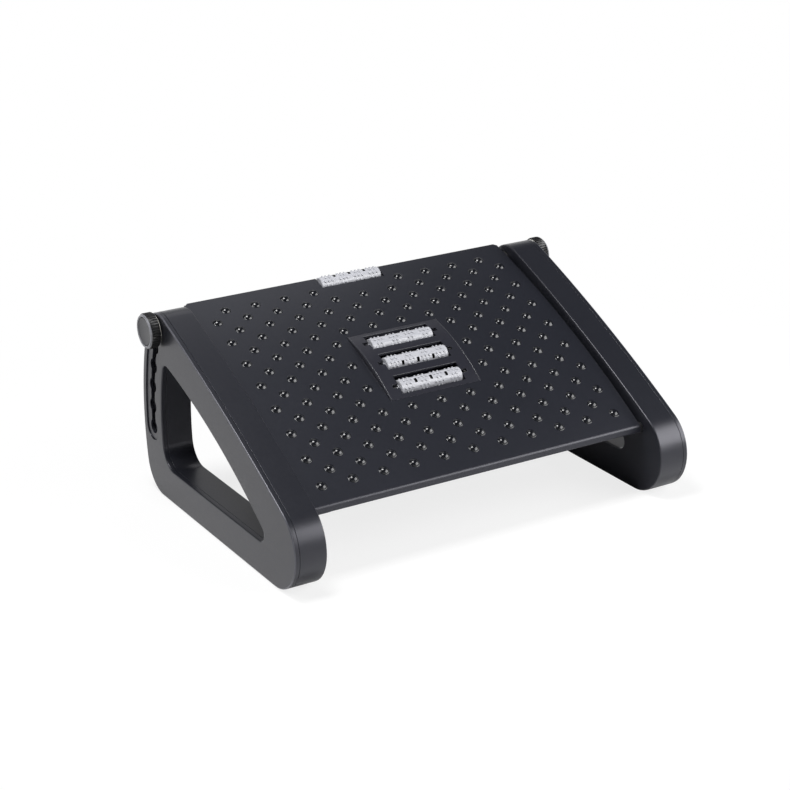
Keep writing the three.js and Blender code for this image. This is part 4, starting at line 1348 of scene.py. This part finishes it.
def glow_share(nodes, links):
    """How much of the floor is plain white: all of it away from the object, less in its shadow."""
    place = nodes.new("ShaderNodeTexCoord")
    away = nodes.new("ShaderNodeVectorMath")
    away.operation = "LENGTH"
    links.new(place.outputs["Object"], away.inputs[0])
    seen, mirrored = rays(nodes, links)
    shares = []
    for ray, reach, low in ((seen, SHADOW_REACH, FLOOR_GLOW_SHARE), (mirrored, MIRROR_REACH, 0)):
        rise = between(nodes, links, away.outputs["Value"], (low, 1), reach)
        shares.append(combine(nodes, links, "MULTIPLY", ray, rise))
    return combine(nodes, links, "MAXIMUM", *shares)


def studio_floor():
    data = bpy.data.meshes.new("studio_floor")
    turns = ((-1, -1), (1, -1), (1, 1), (-1, 1))
    data.from_pydata([(x * FLOOR_HALF, y * FLOOR_HALF, 0) for x, y in turns], [], [(0, 1, 2, 3)])
    floor = bpy.data.objects.new("studio_floor", data)
    bpy.context.scene.collection.objects.link(floor)
    material, nodes, links, surface = shader("studio_floor")
    surface.inputs["Base Color"].default_value = FLOOR_COLOUR
    surface.inputs["Roughness"].default_value = 1.0
    surface.inputs["Specular IOR Level"].default_value = 0.0
    glow = nodes.new("ShaderNodeEmission")
    mix = nodes.new("ShaderNodeMixShader")
    links.new(glow_share(nodes, links), mix.inputs[0])
    links.new(surface.outputs[0], mix.inputs[1])
    links.new(glow.outputs[0], mix.inputs[2])
    links.new(mix.outputs[0], nodes["Material Output"].inputs["Surface"])
    data.materials.append(material)


def studio_world():
    """White for the camera, and a white backdrop that falls to a dim ceiling for what mirrors it."""
    world = bpy.data.worlds.new("studio")
    world.use_nodes = True
    bpy.context.scene.world = world
    nodes, links = world.node_tree.nodes, world.node_tree.links
    place = nodes.new("ShaderNodeTexCoord")
    height = nodes.new("ShaderNodeSeparateXYZ")
    links.new(place.outputs["Generated"], height.inputs[0])
    fall = between(nodes, links, height.outputs["Z"], (1, 0), BACKDROP_FALL, "SMOOTHSTEP")
    seen, mirrored = rays(nodes, links)
    backdrop = combine(nodes, links, "MULTIPLY", mirrored, fall)
    mix = nodes.new("ShaderNodeMixShader")
    links.new(combine(nodes, links, "MAXIMUM", seen, backdrop), mix.inputs[0])
    for socket, glow, level in (
        (1, nodes["Background"], SKY_LEVEL),
        (2, nodes.new("ShaderNodeBackground"), 1.0),
    ):
        glow.inputs["Color"].default_value = WHITE
        glow.inputs["Strength"].default_value = level
        links.new(glow.outputs[0], mix.inputs[socket])
    links.new(mix.outputs[0], nodes["World Output"].inputs["Surface"])


def softbox(name, at, size, power):
    lamp = bpy.data.lights.new(name, "AREA")
    lamp.shape = "RECTANGLE"
    lamp.size, lamp.size_y = size
    lamp.energy = power
    holder = bpy.data.objects.new(name, lamp)
    bpy.context.scene.collection.objects.link(holder)
    holder.location = at
    holder.rotation_euler = (Vector(MIDDLE) - Vector(at)).to_track_quat("-Z", "Y").to_euler()


studio_floor()
studio_world()
for name, made in SOFTBOXES.items():
    softbox(name, **made)


# Camera, from the photograph's perspective

CAMERA_AT = (-0.96835, -1.62791, 0.83431)
CAMERA_AZIMUTH = math.radians(-30.2115)
CAMERA_ELEVATION = math.radians(21.0534)
CAMERA_ROLL = math.radians(-1.1534)
FOCAL_PIXELS = 1998.93
IMAGE_PIXELS = 790


def camera():
    data = bpy.data.cameras.new("camera")
    data.lens = data.sensor_width * FOCAL_PIXELS / IMAGE_PIXELS
    holder = bpy.data.objects.new("camera", data)
    bpy.context.scene.collection.objects.link(holder)
    back = Vector((
        math.sin(CAMERA_AZIMUTH) * math.cos(CAMERA_ELEVATION),
        -math.cos(CAMERA_AZIMUTH) * math.cos(CAMERA_ELEVATION),
        math.sin(CAMERA_ELEVATION),
    ))
    right = Vector((math.cos(CAMERA_AZIMUTH), math.sin(CAMERA_AZIMUTH), 0))
    up = back.cross(right)
    turned = Matrix((right, up, back)).transposed() @ Matrix.Rotation(CAMERA_ROLL, 3, "Z")
    holder.matrix_world = Matrix.Translation(CAMERA_AT) @ turned.to_4x4()
    bpy.context.scene.camera = holder


camera()
bpy.context.scene.view_settings.view_transform = "Standard"

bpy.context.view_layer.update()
